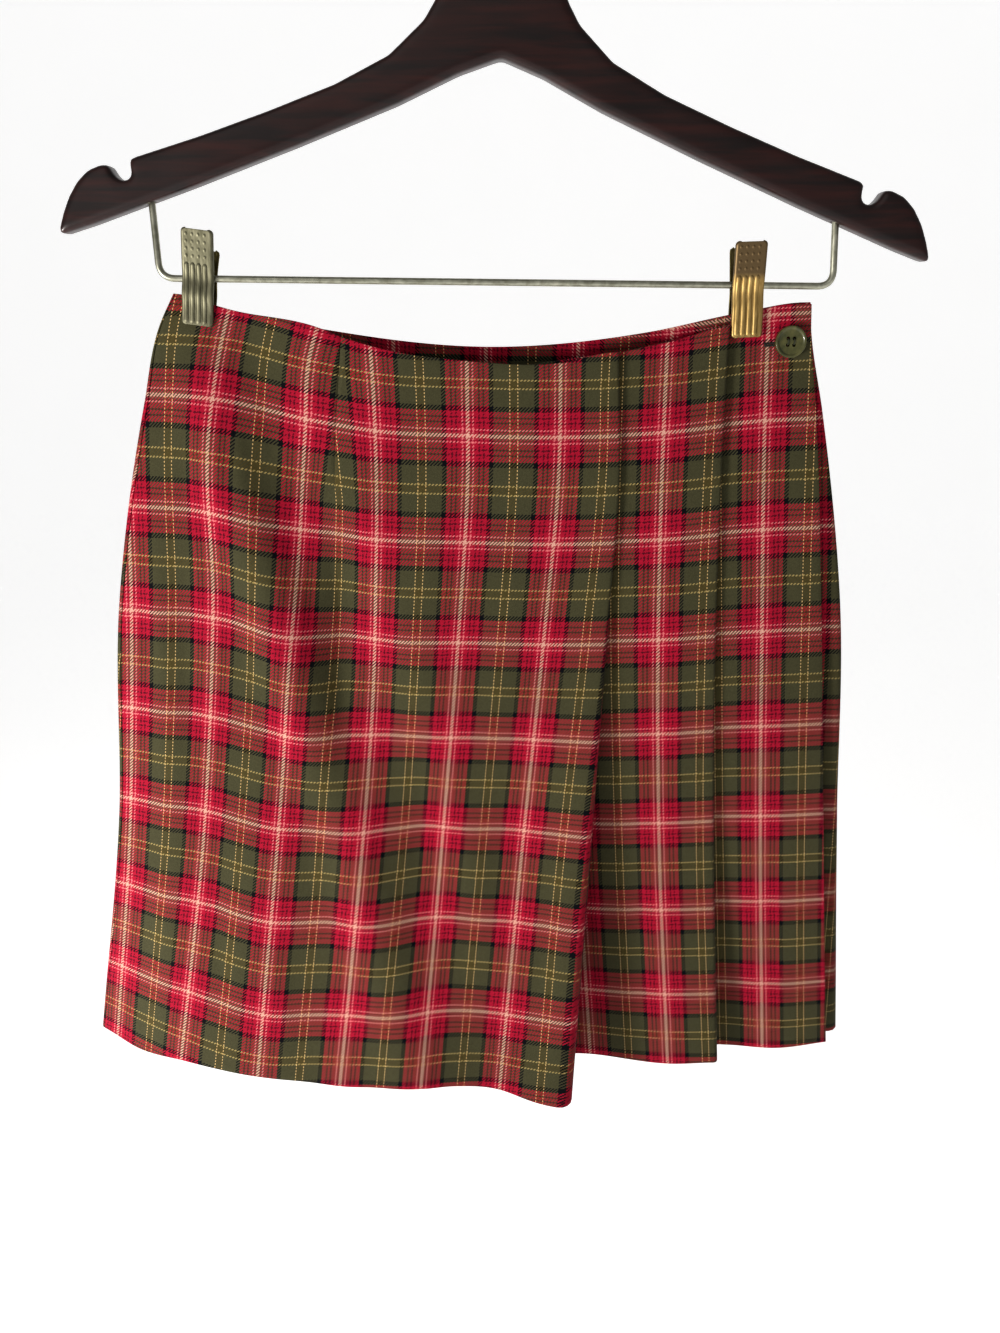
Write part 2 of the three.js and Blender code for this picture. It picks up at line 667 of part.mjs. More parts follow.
// ---------------------------------------------------------------------------
// Clips
// ---------------------------------------------------------------------------
// One sprung plate in side view: a tab that leans out above the bar and a jaw below it.
function plateGeometry(jaw, down) {
  const { above, below, spread, sheet, width } = CLIP;
  const bar = SPRING.outer + GAP;
  const middle = [
    { out: spread, up: above - down },
    { out: bar + 1.2, up: 6 },
    { out: bar, up: 0 },
    { out: bar + 0.6, up: -8 },
    { out: jaw, up: -below + PAD.high + 1.5 },
    { out: jaw, up: -below },
  ];
  const curve = new THREE.SplineCurve(middle.map(({ out, up }) => new THREE.Vector2(out, up)));
  const inner = curve.getPoints(10);
  const outer = inner.map((p) => new THREE.Vector2(p.x + sheet, p.y));
  const shape = new THREE.Shape([...inner, ...outer.reverse()]);
  const plate = new THREE.ExtrudeGeometry(shape, { depth: width, bevelEnabled: false });
  plate.translate(0, 0, -width / 2);
  // The outline's x is depth and its y is height; the extrusion runs across.
  const turned = new THREE.Matrix4().makeBasis(
    new THREE.Vector3(0, 1, 0),
    new THREE.Vector3(0, 0, 1),
    new THREE.Vector3(1, 0, 0),
  );
  return faceOut(merged(plate.applyMatrix4(turned)));
}

function springGeometry() {
  const { outer, inner, long } = SPRING;
  const profile = [
    [inner, -long / 2],
    [outer, -long / 2],
    [outer, long / 2],
    [inner, long / 2],
    [inner, -long / 2],
  ].map(([r, h]) => new THREE.Vector2(r, h));
  const ring = new THREE.LatheGeometry(profile, 14);
  ring.rotateZ(Math.PI / 2);
  return faceOut(merged(ring));
}

function padGeometry(face) {
  const pad = new THREE.BoxGeometry(PAD.width, PAD.thick, PAD.high);
  pad.translate(0, face + PAD.thick / 2, -CLIP.below + PAD.high / 2 + PAD_RAISE);
  return merged(pad);
}

// Height of the bar at a given x.
function barHeight(x) {
  const { left, right } = BAR;
  return left.z + ((x - left.x) * (right.z - left.z)) / (right.x - left.x);
}

const clips = new THREE.Group();
for (const [side, { x, lean, low, layers, backDown }] of Object.entries(CLIPS)) {
  const group = new THREE.Group();
  group.position.set(x, 0, barHeight(x));
  group.rotation.y = lean;
  const face = ((layers - 1) * LAYER + CLOTH) / 2 + GAP;
  const jaw = face + PAD.thick + GAP;
  const metal = side === "left" ? COLOURS.clipSteel : COLOURS.clipBrass;
  for (const [place, turned, down] of [["front", Math.PI, 0], ["back", 0, backDown]]) {
    const plate = add(group, `clip_${side}_${place}`, plateGeometry(jaw, down), metal, 0.35, 1);
    const pad = add(group, `clip_${side}_pad_${place}`, padGeometry(face), COLOURS.rubber, 0.9, 0);
    for (const piece of [plate, pad]) {
      piece.rotation.z = turned;
      piece.position.z = -low;
    }
  }
  add(group, `clip_${side}_spring`, springGeometry(), COLOURS.steel, 0.3, 1);
  clips.add(group);
}

const part = new THREE.Group();
part.add(skirt, hanger, barGroup, clips);

export default part;
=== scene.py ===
# %% [markdown]
# # A tartan mini skirt on a clip hanger
# The construction model already gives every piece its size and place. This lesson dresses
# it: pleated wool cloth, a sewn button, varnished wood, bent wire and pressed steel clips.
# Everything is in metres, with Z up. The origin is the inner top of the hook.

import math

import bmesh
import bpy
import numpy as np
from mathutils import Matrix, Vector, noise
from mathutils.bvhtree import BVHTree


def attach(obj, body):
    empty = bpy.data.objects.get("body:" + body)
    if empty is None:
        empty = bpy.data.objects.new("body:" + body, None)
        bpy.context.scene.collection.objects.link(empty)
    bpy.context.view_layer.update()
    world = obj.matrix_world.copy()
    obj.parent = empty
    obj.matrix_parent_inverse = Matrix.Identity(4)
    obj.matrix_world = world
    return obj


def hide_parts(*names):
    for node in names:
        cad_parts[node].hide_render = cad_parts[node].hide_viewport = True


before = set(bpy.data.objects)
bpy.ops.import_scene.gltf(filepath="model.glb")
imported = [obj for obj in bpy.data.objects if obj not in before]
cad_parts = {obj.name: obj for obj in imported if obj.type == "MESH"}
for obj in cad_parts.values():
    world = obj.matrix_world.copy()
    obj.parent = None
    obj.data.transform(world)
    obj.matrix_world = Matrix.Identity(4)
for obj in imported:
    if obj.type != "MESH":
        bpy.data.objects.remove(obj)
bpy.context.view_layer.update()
MM = 0.001  # the tables below are in millimetres
print("nodes:", ", ".join(sorted(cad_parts)))

# %% [markdown]
# A camera is described by its place, its tilt and its lens. This one stands half a metre in
# front of the waist and looks a little down, so the lower part of the skirt is further away
# and looks smaller. The colours are shown without a film curve, only with some more contrast,
# so white stays white and the folds get deep, full shadows.

# %% Camera
CAMERA_DISTANCE = 0.545
CAMERA_LEVEL = -0.226
CAMERA_TILT = math.radians(20)
LENS = 27.03  # the lens, and below the long side of the sensor, in millimetres
SENSOR = 36

scene = bpy.context.scene
bpy.ops.object.select_all(action="DESELECT")
bpy.ops.object.camera_add(
    location=(0, -CAMERA_DISTANCE, CAMERA_LEVEL), rotation=(math.pi / 2 - CAMERA_TILT, 0, 0)
)
camera = bpy.context.object
camera.data.lens = LENS
camera.data.sensor_width = SENSOR
scene.camera = camera
scene.view_settings.view_transform = "Standard"
scene.view_settings.look = "Medium High Contrast"
print("camera", tuple(round(c, 3) for c in camera.location))

# %% [markdown]
# Folds in cloth show best in light from one side. A soft box stands close on the left, so its
# light also fades towards the right. A sun lamp with a very wide disc comes from the front and
# fills the shadows a little. Both lamps are turned to shine along a direction.

# %% Lamps
SOFT_BOX = Vector((-0.9, -0.64, -0.6))
AIM = Vector((-0.05, 0, -0.52))
FILL_PLACE = Vector((0, -2, 2))
FILL_WAY = Vector((0.3, 0.85, -0.45))
FILL_SPREAD = math.radians(45)


def aimed_light(name, kind, place, way, colour, **settings):
    """A lamp that shines along a direction."""
    rotation = way.to_track_quat("-Z", "Y").to_euler()
    bpy.ops.object.light_add(type=kind, location=place, rotation=rotation)
    lamp = bpy.context.object
    lamp.name = name
    lamp.data.color = colour
    for setting, value in settings.items():
        setattr(lamp.data, setting, value)
    return lamp


fill_light = aimed_light(
    "fill_light", "SUN", FILL_PLACE, FILL_WAY, (1.0, 0.985, 0.96), energy=0.22, angle=FILL_SPREAD
)
soft_box = aimed_light(
    "soft_box", "AREA", SOFT_BOX, AIM - SOFT_BOX, (1.0, 0.97, 0.94), shape="DISK", size=0.3, energy=12.5
)
print("lamps:", fill_light.name, soft_box.name)

# %% [markdown]
# A material is a small network of nodes, and so is the sky. These helpers keep the networks
# short: put() adds one node and wires it, and sums() adds a Math node and gives its result.

# %% Node helpers


def put(tree, kind, inputs=None, **settings):
    """Adds a shader node. inputs maps a socket to a value or to the output that feeds it."""
    item = tree.nodes.new("ShaderNode" + kind)
    for name, value in settings.items():
        setattr(item, name, value)
    for socket, value in (inputs or {}).items():
        if isinstance(value, bpy.types.NodeSocket):
            tree.links.new(value, item.inputs[socket])
        else:
            item.inputs[socket].default_value = value
    return item


def sums(tree, operation, *values):
    """The result of a Math node."""
    return put(tree, "Math", dict(enumerate(values)), operation=operation).outputs[0]


def blended(tree, factor, first, second, mode="MIX"):
    """The result of a colour Mix node."""
    mix = put(tree, "Mix", {0: factor, 6: first, 7: second}, data_type="RGBA", blend_type=mode)
    return mix.outputs[2]


def ramp(tree, factor, stops, interpolation="LINEAR"):
    """The colour of a Color Ramp node with (place, colour) stops."""
    item = put(tree, "ValToRGB", {0: factor})
    band = item.color_ramp
    band.interpolation = interpolation
    while len(band.elements) < len(stops):
        band.elements.new(1)
    # The places come first, because a stop that moves past another changes its number.
    for element, (place, colour) in zip(band.elements, stops):
        element.position = place
    for element, (place, colour) in zip(band.elements, stops):
        element.color = colour
    return item.outputs[0]


def srgb(red, green, blue):
    """A colour given as a screen shows it, from 0 to 255, turned to the linear light that nodes use."""
    linear = [((c / 255 + 0.055) / 1.055) ** 2.4 if c > 10 else c / 255 / 12.92 for c in (red, green, blue)]
    return (*linear, 1)


def new_group(name, inputs, outputs):
    """A shader node group with named sockets, and its input and output nodes."""
    tree = bpy.data.node_groups.new(name, "ShaderNodeTree")
    for title, kind, value in inputs:
        socket = tree.interface.new_socket(title, in_out="INPUT", socket_type="NodeSocket" + kind)
        if value is not None:
            socket.default_value = value
    for title, kind in outputs:
        tree.interface.new_socket(title, in_out="OUTPUT", socket_type="NodeSocket" + kind)
    return tree, tree.nodes.new("NodeGroupInput").outputs, tree.nodes.new("NodeGroupOutput").inputs


def new_material(name, **constants):
    """A material and its Principled shader, with the sockets that are the same all over."""
    material = bpy.data.materials.new(name)
    material.use_nodes = True
    shader = material.node_tree.nodes["Principled BSDF"]
    for socket, value in constants.items():
        shader.inputs[socket.replace("_", " ")].default_value = value
    return material, material.node_tree, shader


def finish_normal(tree, shader, height, strength, distance):
    """Feeds a height to the shader's normal through a Bump node."""
    bump_node = put(tree, "Bump", {"Strength": strength, "Distance": distance, "Height": height})
    tree.links.new(bump_node.outputs[0], shader.inputs["Normal"])


# %% [markdown]
# A pale sky lights the cloth from all sides, but only a little. Past the edge of the paper it
# has to look white all the same. So a Light Path node tells the sky that is looked at from the
# sky that gives light, and each gets its own strength.

# %% Sky
SKY_LIGHT = 0.26
SKY_SEEN = 0.9

world = bpy.data.worlds.new("studio")
world.use_nodes = True
sky = world.node_tree.nodes["Background"]
sky.inputs["Color"].default_value = (1, 1, 1, 1)
looked_at = put(world.node_tree, "LightPath").outputs[0]
strength = put(world.node_tree, "MapRange", {"Value": looked_at, "To Min": SKY_LIGHT, "To Max": SKY_SEEN})
world.node_tree.links.new(strength.outputs[0], sky.inputs["Strength"])
scene.world = world
print("sky:", SKY_LIGHT, "as light and", SKY_SEEN, "as seen")

# %% [markdown]
# The floor and the wall behind are one sheet of white paper, as in a photographer's studio.
# The far edge of a plane is extruded upwards to make the wall, and smooth shading takes away
# the line where the paper is folded.

# %% Paper sweep
FLOOR_Z = -1.25
STAGE_SIZE = 16
WALL_Y = 4.5


def select_where(mesh, kind, wanted):
    """In edit mode, selects just those edges or faces that wanted() picks."""
    bpy.ops.mesh.select_all(action="DESELECT")
    shape = bmesh.from_edit_mesh(mesh)
    for element in getattr(shape, kind):
        element.select = wanted(element)
    shape.select_flush_mode()
    bmesh.update_edit_mesh(mesh)


bpy.ops.object.select_all(action="DESELECT")
bpy.ops.mesh.primitive_plane_add(size=STAGE_SIZE, location=(0, WALL_Y - STAGE_SIZE / 2, FLOOR_Z))
stage = bpy.context.object
stage.name = "studio_sweep"
bpy.ops.object.mode_set(mode="EDIT")
select_where(stage.data, "edges", lambda edge: all(v.co.y > 0 for v in edge.verts))
bpy.ops.mesh.extrude_region_move(TRANSFORM_OT_translate={"value": (0, 0, STAGE_SIZE / 2)})
bpy.ops.object.mode_set(mode="OBJECT")
bpy.ops.object.shade_smooth()
print("stage faces:", len(stage.data.polygons))

# %% [markdown]
# A tartan is one list of coloured stripes, the sett, used both for the warp, which runs down
# the cloth, and for the weft, which runs across. The sett mirrors at its two middles, so only
# half of it is written down, as a weaver does, in threads: from the middle of the white stripe
# to the middle of the olive square. Every thread gets one colour all along. Where warp and
# weft differ, the eye mixes them, because a twill shows each for two threads out of four, and
# the steps make its fine diagonal ribs. The group does just that.

# %% Tartan group
RED = srgb(156, 21, 48)
DEEP_RED = srgb(142, 20, 46)
ROSE = srgb(154, 62, 68)
WINE = srgb(84, 10, 29)
BLACK = srgb(10, 11, 16)
OLIVE = srgb(69, 67, 47)
MOSS = srgb(76, 67, 38)
CREAM = srgb(204, 154, 138)
BLUSH = srgb(208, 108, 112)
YELLOW = srgb(154, 136, 88)
STRAW = srgb(198, 166, 114)  # the warp's own paler yellow
# Half of the sett, from the middle of the white stripe: each colour and its number of threads.
HALF_SETT = [
    (CREAM, 2), (ROSE, 1), (DEEP_RED, 2), (BLUSH, 2), (RED, 5), (WINE, 2), (RED, 3), (WINE, 2), (RED, 5),
    (BLACK, 5), (OLIVE, 18), (YELLOW, 1), (MOSS, 4),
]
HALF_THREADS = sum(threads for colour, threads in HALF_SETT)
TWILLS_ACROSS = 26  # repeats of the four-thread twill in one sett, across and down
TWILLS_DOWN = 30
YARN_TONES = (0.86, 1.1)  # how dark and how light a single yarn can be
RIB_HEIGHT = 1.6  # heights of the twill's ribs and of uneven yarns, as shares of the bump
YARN_HEIGHT = 0.3


def sett_stops(yellow):
    """Where each stripe of half a sett starts, and its colour, with a yellow of its own."""
    stops, counted = [], 0
    for colour, count in HALF_SETT:
        stops.append((counted / HALF_THREADS, yellow if colour == YELLOW else colour))
        counted += count
    return stops


def tartan_group():
    """Colour and height of the cloth at a place given in setts."""
    tree, given, out = new_group(
        "Tartan twill", [("Setts", "Vector", None)], [("Colour", "Color"), ("Height", "Float")]
    )
    place = put(tree, "SeparateXYZ", {0: given["Setts"]})
    across, down = place.outputs[0], place.outputs[1]
    numbers, threads = [], []
    for direction, twills, yellow in ((across, TWILLS_ACROSS, STRAW), (down, TWILLS_DOWN, YELLOW)):
        number = sums(tree, "FLOOR", sums(tree, "MULTIPLY", direction, 4 * twills))
        middle = sums(tree, "DIVIDE", sums(tree, "ADD", number, 0.5), 2 * twills)
        numbers.append(number)
        threads.append(ramp(tree, sums(tree, "PINGPONG", middle, 1), sett_stops(yellow), "CONSTANT"))
    thread_across, thread_down = numbers
    step = sums(tree, "DIVIDE", sums(tree, "ADD", thread_across, thread_down), 4)
    warp_on_top = sums(tree, "LESS_THAN", sums(tree, "FRACT", step), 0.5)
    woven = blended(tree, warp_on_top, threads[1], threads[0])
    cell = put(tree, "CombineXYZ", {0: thread_across, 1: thread_down})
    yarn = put(tree, "TexWhiteNoise", {0: cell.outputs[0]}, noise_dimensions="2D").outputs[0]
    darkest, lightest = YARN_TONES
    shade = put(tree, "MapRange", {0: yarn, 3: darkest, 4: lightest}).outputs[0]
    tone = put(tree, "CombineColor", {0: shade, 1: shade, 2: shade}).outputs[0]
    tree.links.new(blended(tree, 1.0, woven, tone, "MULTIPLY"), out["Colour"])
    ribs_across = sums(tree, "MULTIPLY", across, TWILLS_ACROSS)
    ribs_down = sums(tree, "MULTIPLY", down, TWILLS_DOWN)
    ridge = sums(tree, "PINGPONG", sums(tree, "ADD", ribs_across, ribs_down), 0.5)
    ridge_height = sums(tree, "MULTIPLY", ridge, RIB_HEIGHT)
    height = sums(tree, "ADD", ridge_height, sums(tree, "MULTIPLY", yarn, YARN_HEIGHT))
    tree.links.new(height, out["Height"])
    return tree


TARTAN = tartan_group()
print("threads in half a sett:", HALF_THREADS)

# %% [markdown]
# Nothing real has one even tone. The next group is used by every finish of this object: soft
# clouds that lighten and darken a colour, and a mask of the same clouds for the roughness.

# %% Uneven tone group


def uneven_group():
    """A colour with soft clouds, and the clouds by themselves."""
    tree, given, out = new_group(
        "Uneven tone",
        [("Colour", "Color", None), ("Scale", "Float", 40.0), ("Amount", "Float", 0.1)],
        [("Colour", "Color"), ("Clouds", "Float")],
    )
    where = put(tree, "TexCoord").outputs["Object"]
    clouds = put(tree, "TexNoise", {"Vector": where, "Scale": given["Scale"], "Detail": 4.0}).outputs[0]
    swing = sums(tree, "MULTIPLY", sums(tree, "SUBTRACT", clouds, 0.5), given["Amount"])
    shade = sums(tree, "ADD", sums(tree, "MULTIPLY", swing, 2), 1)
    tone = put(tree, "CombineColor", {0: shade, 1: shade, 2: shade}).outputs[0]
    tree.links.new(blended(tree, 1.0, given["Colour"], tone, "MULTIPLY"), out["Colour"])
    tree.links.new(clouds, out["Clouds"])
    return tree


UNEVEN = uneven_group()


def uneven(tree, colour, scale, amount):
    """Places the group and returns its two outputs."""
    item = put(tree, "Group", {"Colour": colour, "Scale": scale, "Amount": amount}, node_tree=UNEVEN)
    return item.outputs["Colour"], item.outputs["Clouds"]


# %% [markdown]
# The wool is matt, with a faint bloom where it is seen at a glancing angle: that is what the
# sheen of the shader is for. The bump is only as deep as a thread.

# %% Wool material


def wool_material():
    """Matt wool with the tartan on it."""
    material, tree, shader = new_material(
        "wool_tartan", Roughness=0.88, Sheen_Weight=0.04, Sheen_Roughness=0.5, Specular_IOR_Level=0.1
    )
    setts = put(tree, "UVMap", uv_map="setts").outputs[0]
    weave = put(tree, "Group", {0: setts}, node_tree=TARTAN)
    colour = uneven(tree, weave.outputs["Colour"], scale=14.0, amount=0.07)[0]
    tree.links.new(colour, shader.inputs["Base Color"])
    finish_normal(tree, shader, weave.outputs["Height"], strength=0.35, distance=0.12 * MM)
    return material


WOOL = wool_material()

# %% [markdown]
# The studio paper is white with a very slight mottle. It glows a little, as paper does that is
# lit from behind, so it shows as pure white.

# %% Studio paper


def paper_material():
    """Matt white paper that glows a little."""
    material, tree, shader = new_material(
        "studio_paper", Roughness=0.9, Specular_IOR_Level=0.1, Emission_Strength=0.46
    )
    colour = uneven(tree, (0.95, 0.95, 0.95, 1), scale=3.0, amount=0.01)[0]
    tree.links.new(colour, shader.inputs["Base Color"])
    tree.links.new(colour, shader.inputs["Emission Color"])
    return material


stage.data.materials.append(paper_material())

# %% [markdown]
# Both cloth pieces are made the way a pattern cutter thinks of them: lines that run down the
# skirt from waist to hem, and at every level a section, seen from above, that passes through
# those lines and turns round at the folds. The tables below give the lines.

# %% Lines of the skirt
CLOTH = 1.2
GAP = 0.3
WAIST_Z = -226
LEVELS = [0, 0.03, 0.12, 0.35, 0.65, 1]  # fractions of the way from waist edge to hem

# x is across and y is depth at each level; top and hem are drops below the waist level.
APRON_LEFT = [
    # over the left clip
    dict(
        x=[-152.5, -157.5, -168, -186, -203, -231], y=[-0.9, -0.9, -3.8, -6.4, -11, -22], top=-0.5, hem=453.5
    ),
    # flank
    dict(
        x=[-138.6, -143, -151.5, -160, -176.5, -201.5], y=[-1.1, -1.2, -5.2, -8.6, -15, -35],
        top=3.4, hem=450.5,
    ),
    # left of the dart
    dict(x=[-93.5, -98, -103, -115, -131.8, -150.5], y=[-4.8, -5.2, -7.8, -10.6, -21, -48], top=12, hem=452),
    # dart seam
    dict(x=[-81.6, -83, -87, -92, -99.5, -116], y=[-4.4, -4.8, -6.6, -8.6, -19.2, -50], top=16.5, hem=454.5),
    # right of the dart
    dict(x=[-66.6, -66, -65.7, -70.3, -81.5, -99], y=[-6.6, -7, -8.4, -10.8, -21.6, -52], top=21, hem=455.5),
    # middle of the apron
    dict(
        x=[-17, -17, -17, -23.5, -34.7, -48.7], y=[-7.9, -8.1, -8.8, -10.8, -20.6, -54], top=28.3, hem=454
    ),
    # beside the first pleat
    dict(
        x=[31.1, 31.3, 31.4, 24.5, 13.3, -0.3], y=[-8.6, -8.7, -9.1, -10.7, -21.2, -55], top=29.3, hem=458.2
    ),
]
APRON_MIDDLE = [
    dict(x=[72, 72, 74, 70.5, 62, 58], y=[-5.2, -5.3, -6.2, -7.2, -12, -22], top=22.2, hem=457),
    dict(x=[92, 92, 93, 95.5, 101, 110], y=[-5.4, -5.5, -7.2, -8.8, -13.6, -31], top=17.9, hem=457),
]
APRON_RIGHT = [
    dict(x=[126.5, 126.7, 128, 133, 141, 151.5], y=[-1.8, -1.8, -4, -5.2, -7.6, -16], top=7.2, hem=455),
    dict(x=[140, 141, 143, 152, 163, 176], y=[-1.8, -1.8, -4.6, -6, -9.2, -20], top=1.9, hem=454),
    # wrap edge
    dict(x=[159, 160.2, 166.3, 180, 195, 211], y=[-1.8, -1.8, -4.6, -5.8, -9, -18.5], top=0.8, hem=450),
]
# The pressed outer fold of each pleat; depth is how far the cloth runs back behind it, open is
# how far the inner fold hangs behind its pressed place, round is the radius of the folds.
PLEATS = [
    dict(
        x=[60.4, 61, 63, 59.5, 52.2, 42.4], y=[-8.9, -9, -9.4, -12.4, -29.5, -62], top=24, hem=463,
        depth=[45, 45, 45, 42, 38, 27], open=[0, 0, 0, 0, 0, 17], round=[0.9, 0.9, 0.9, 1.5, 4.6, 7],
    ),
    dict(
        x=[117, 117, 117.4, 120.8, 128.5, 138.5], y=[-5.4, -5.4, -7.4, -8.8, -13.2, -31], top=12, hem=456,
        depth=[47, 47, 47, 46, 44, 41], open=[0, 0, 0, 0.4, 2, 9], round=[0.9, 0.9, 0.9, 1.1, 1.5, 2.4],
    ),
]
LEFT_SIDE = dict(
    x=[-166, -174, -187.5, -214, -232, -263.5], y=[0, 0, 0, 0, 0, 0], top=-4, hem=451.5,
    round=[0.9, 0.9, 2.4, 3, 3.4, 4.2],
)
RIGHT_SIDE = dict(
    x=[158.6, 160.4, 170.5, 192, 205.8, 223], y=[0.9, 0.9, 0.7, 0.6, 0.6, 1], top=0, hem=452,
    round=[0.9, 0.9, 1.3, 2.6, 4, 7],
)
BACK = [
    dict(x=[-148, -152, -160, -176, -190, -214], y=[0.9, 0.9, 4, 7, 10, 15], top=1.2, hem=449),
    dict(x=[-85, -87, -92, -102, -112, -128], y=[4.6, 4.8, 6.6, 9, 13.4, 22], top=14.3, hem=447),
    dict(x=[-5, -5, -6, -7, -8, -12], y=[6.6, 6.7, 7.6, 9.6, 14.4, 25], top=22, hem=446),
    dict(x=[75, 76, 80, 88, 98, 108], y=[4.6, 4.8, 6.2, 8.6, 12.4, 21], top=15, hem=447),
    dict(x=[124, 124.5, 130, 146, 160, 174], y=[1.8, 1.8, 4, 6.6, 9.2, 14], top=5, hem=449),
]
UNDERLAP = [
    dict(x=[146, 147, 152, 167, 183, 199], y=[0, 0, -1.6, -1.6, -2.6, -7.5], top=4, hem=452),
    dict(x=[109, 110, 115, 127, 140, 153], y=[0, 0, -1.4, -1.2, -2.2, -9.5], top=14, hem=453),
]

# %% [markdown]
# A point of a section carries more than its place: how far the top and the hem of the cloth
# lie below the waist level there, which way the cloth heads, and where it is in the sett. The
# helpers draw a soft curve through a few given values, a soft line through a few points, and
# the round turn of a fold.

# %% Curves
X, Y, TOP, HEM, HEADING, SETT = range(6)  # columns of a section's points
LEAD = 0.02  # share of a span over which a line keeps the heading given at its end


def smooth(knots, values, t):
    """A soft curve through the values at the knots, read at t."""
    knots, values, t = np.asarray(knots, float), np.asarray(values, float), np.asarray(t, float)
    gaps = np.diff(knots)
    rises = np.diff(values) / gaps
    between = (rises[:-1] * gaps[1:] + rises[1:] * gaps[:-1]) / (gaps[:-1] + gaps[1:])
    slopes = np.concatenate([rises[:1], between, rises[-1:]])
    i = np.clip(np.searchsorted(knots, t) - 1, 0, len(gaps) - 1)
    u = (t - knots[i]) / gaps[i]
    ends = values[i] * (1 + 2 * u) * (1 - u) ** 2 + values[i + 1] * u * u * (3 - 2 * u)
    return ends + gaps[i] * (slopes[i] * u * (1 - u) ** 2 + slopes[i + 1] * u * u * (u - 1))


def at(line, t):
    """A line's point at level t, with no heading or sett yet."""
    x, y = smooth(LEVELS, line["x"], t), smooth(LEVELS, line["y"], t)
    return np.array([x, y, line["top"], line["hem"], np.nan, np.nan])


def heading_of(a, b):
    """The angle of the way from one point to another, seen from above."""
    return math.atan2(b[Y] - a[Y], b[X] - a[X])


def along_path(path):
    """The length of the way from the first point to each point."""
    return np.concatenate([[0], np.cumsum(np.hypot(*np.diff(path[:, :2], axis=0).T))])


def moved(point, heading, step):
    """A point a step further along a heading."""
    further = point.copy()
    further[:2] += step * np.array([math.cos(heading), math.sin(heading)])
    return further


def through(keys, stops, start=None, end=None, tight=0):
    """Points on a soft curve through the keys. stops gives (key, steps to it) pairs, start and
    end are headings, and tight draws the points together round the inner stops."""
    keys = np.array(keys)
    along = along_path(keys)
    places, last = [np.zeros(1)], 0
    for key, steps in stops:
        places.append(np.linspace(along[last], along[key], steps + 1)[1:])
        last = key
    places = np.concatenate(places)
    for key, steps in stops[:-1]:
        off = places - along[key]
        near = np.abs(off) < tight
        places[near] = along[key] + off[near] * np.abs(off[near]) / tight
    knots, points = list(along), list(keys)
    if end is not None:
        step = LEAD * (along[-1] - along[-2])
        knots.insert(-1, along[-1] - step)
        points.insert(-1, moved(keys[-1], end, -step))
    if start is not None:
        step = LEAD * along[1]
        knots.insert(1, step)
        points.insert(1, moved(keys[0], start, step))
    points = np.array(points)
    result = np.full((len(places), 6), np.nan)
    for column in (X, Y, TOP, HEM):
        result[:, column] = smooth(knots, points[:, column], places)
    return result


def on_turn(centre, radius, heading, side):
    """The point of a round turn where the cloth has a heading; side is 1 for a left turn."""
    point = centre.copy()
    point[X] += side * radius * math.sin(heading)
    point[Y] -= side * radius * math.cos(heading)
    point[HEADING] = heading
    return point


def turn(centre, radius, start, end, steps, side):
    """The points of a round turn, from one heading to another."""
    headings = [start + (end - start) * i / steps for i in range(steps + 1)]
    return np.array([on_turn(centre, radius, heading, side) for heading in headings])


def bump(u):
    """A soft hill: 1 in the middle and 0 from -1 and 1 outwards."""
    return np.where(np.abs(u) < 1, np.cos(np.clip(u, -1, 1) * math.pi / 2) ** 2, 0)


# %% [markdown]
# The pattern has to lie on the cloth as it was woven, so each point of a section also carries
# its place in the sett. On a panel it is read from the white stripes, whose lines down the
# skirt are given here; inside a fold it follows the length of the cloth. row1 and row7 are
# the drops of the first and the seventh white stripe across, where each line meets them.

# %% Stripes on the cloth
SETT_WIDTH = 48.5
STRIPES = [
    dict(sett=0, x=[-187, -191.5, -197, -206.8, -224, -250.5], row1=45, row7=399),
    dict(sett=1, x=APRON_LEFT[1]["x"], row1=47.4, row7=403),
    dict(sett=2, x=APRON_LEFT[2]["x"], row1=57.8, row7=411),
    dict(sett=3, x=APRON_LEFT[4]["x"], row1=63.5, row7=410),
    dict(sett=4, x=APRON_LEFT[5]["x"], row1=66, row7=408),
    dict(sett=5, x=APRON_LEFT[6]["x"], row1=66.8, row7=410),
]
FOLD_SETTS = [5.63, 5.65, 5.68, 5.74, 5.85, 5.88]  # where the first pleat's fold cuts the sett
MIDDLE_STRIPE = dict(sett=8, x=[85.9, 86, 86.3, 89, 95.8, 107], row1=64.6, row7=408)
RIGHT_STRIPE = dict(sett=11, x=[137.4, 138, 139.5, 147, 157.3, 170], row1=58.7, row7=407)
EDGE_ROWS = dict(x=APRON_RIGHT[2]["x"], row1=57.4, row7=405)
WAIST_EASE = 0.11  # setts by which the cloth is eased together above the first white stripe
EASE_CURVE = 1.5
DART_TAKE = 0.445  # setts of cloth that the dart takes in at the waist
DART_CURVE = 0.85
DART_TIP = 0.19  # level where the dart runs out
ROWS_BETWEEN = 6  # setts from the first white stripe across to the seventh


def dart_take(t):
    """Setts of cloth that the dart takes in at level t."""
    return DART_TAKE * max(0, 1 - t / DART_TIP) ** DART_CURVE


def left_setts(x, t, side):
    """Setts on the left panel; side is -1 left and 1 right of the dart."""
    stations = [(float(smooth(LEVELS, s["x"], t)), s["sett"]) for s in STRIPES]
    stations.append((float(smooth(LEVELS, PLEATS[0]["x"], t)), float(smooth(LEVELS, FOLD_SETTS, t))))
    xs, setts = np.array(stations).T
    value = np.interp(x, xs, setts)
    value = np.where(x < xs[0], setts[0] + (x - xs[0]) / SETT_WIDTH, value)
    dart = float(smooth(LEVELS, APRON_LEFT[3]["x"], t))
    reach = dart - xs[2] if side < 0 else xs[3] - dart
    return value + side * dart_take(t) / 2 * np.clip(1 - np.abs(x - dart) / reach, 0, 1)


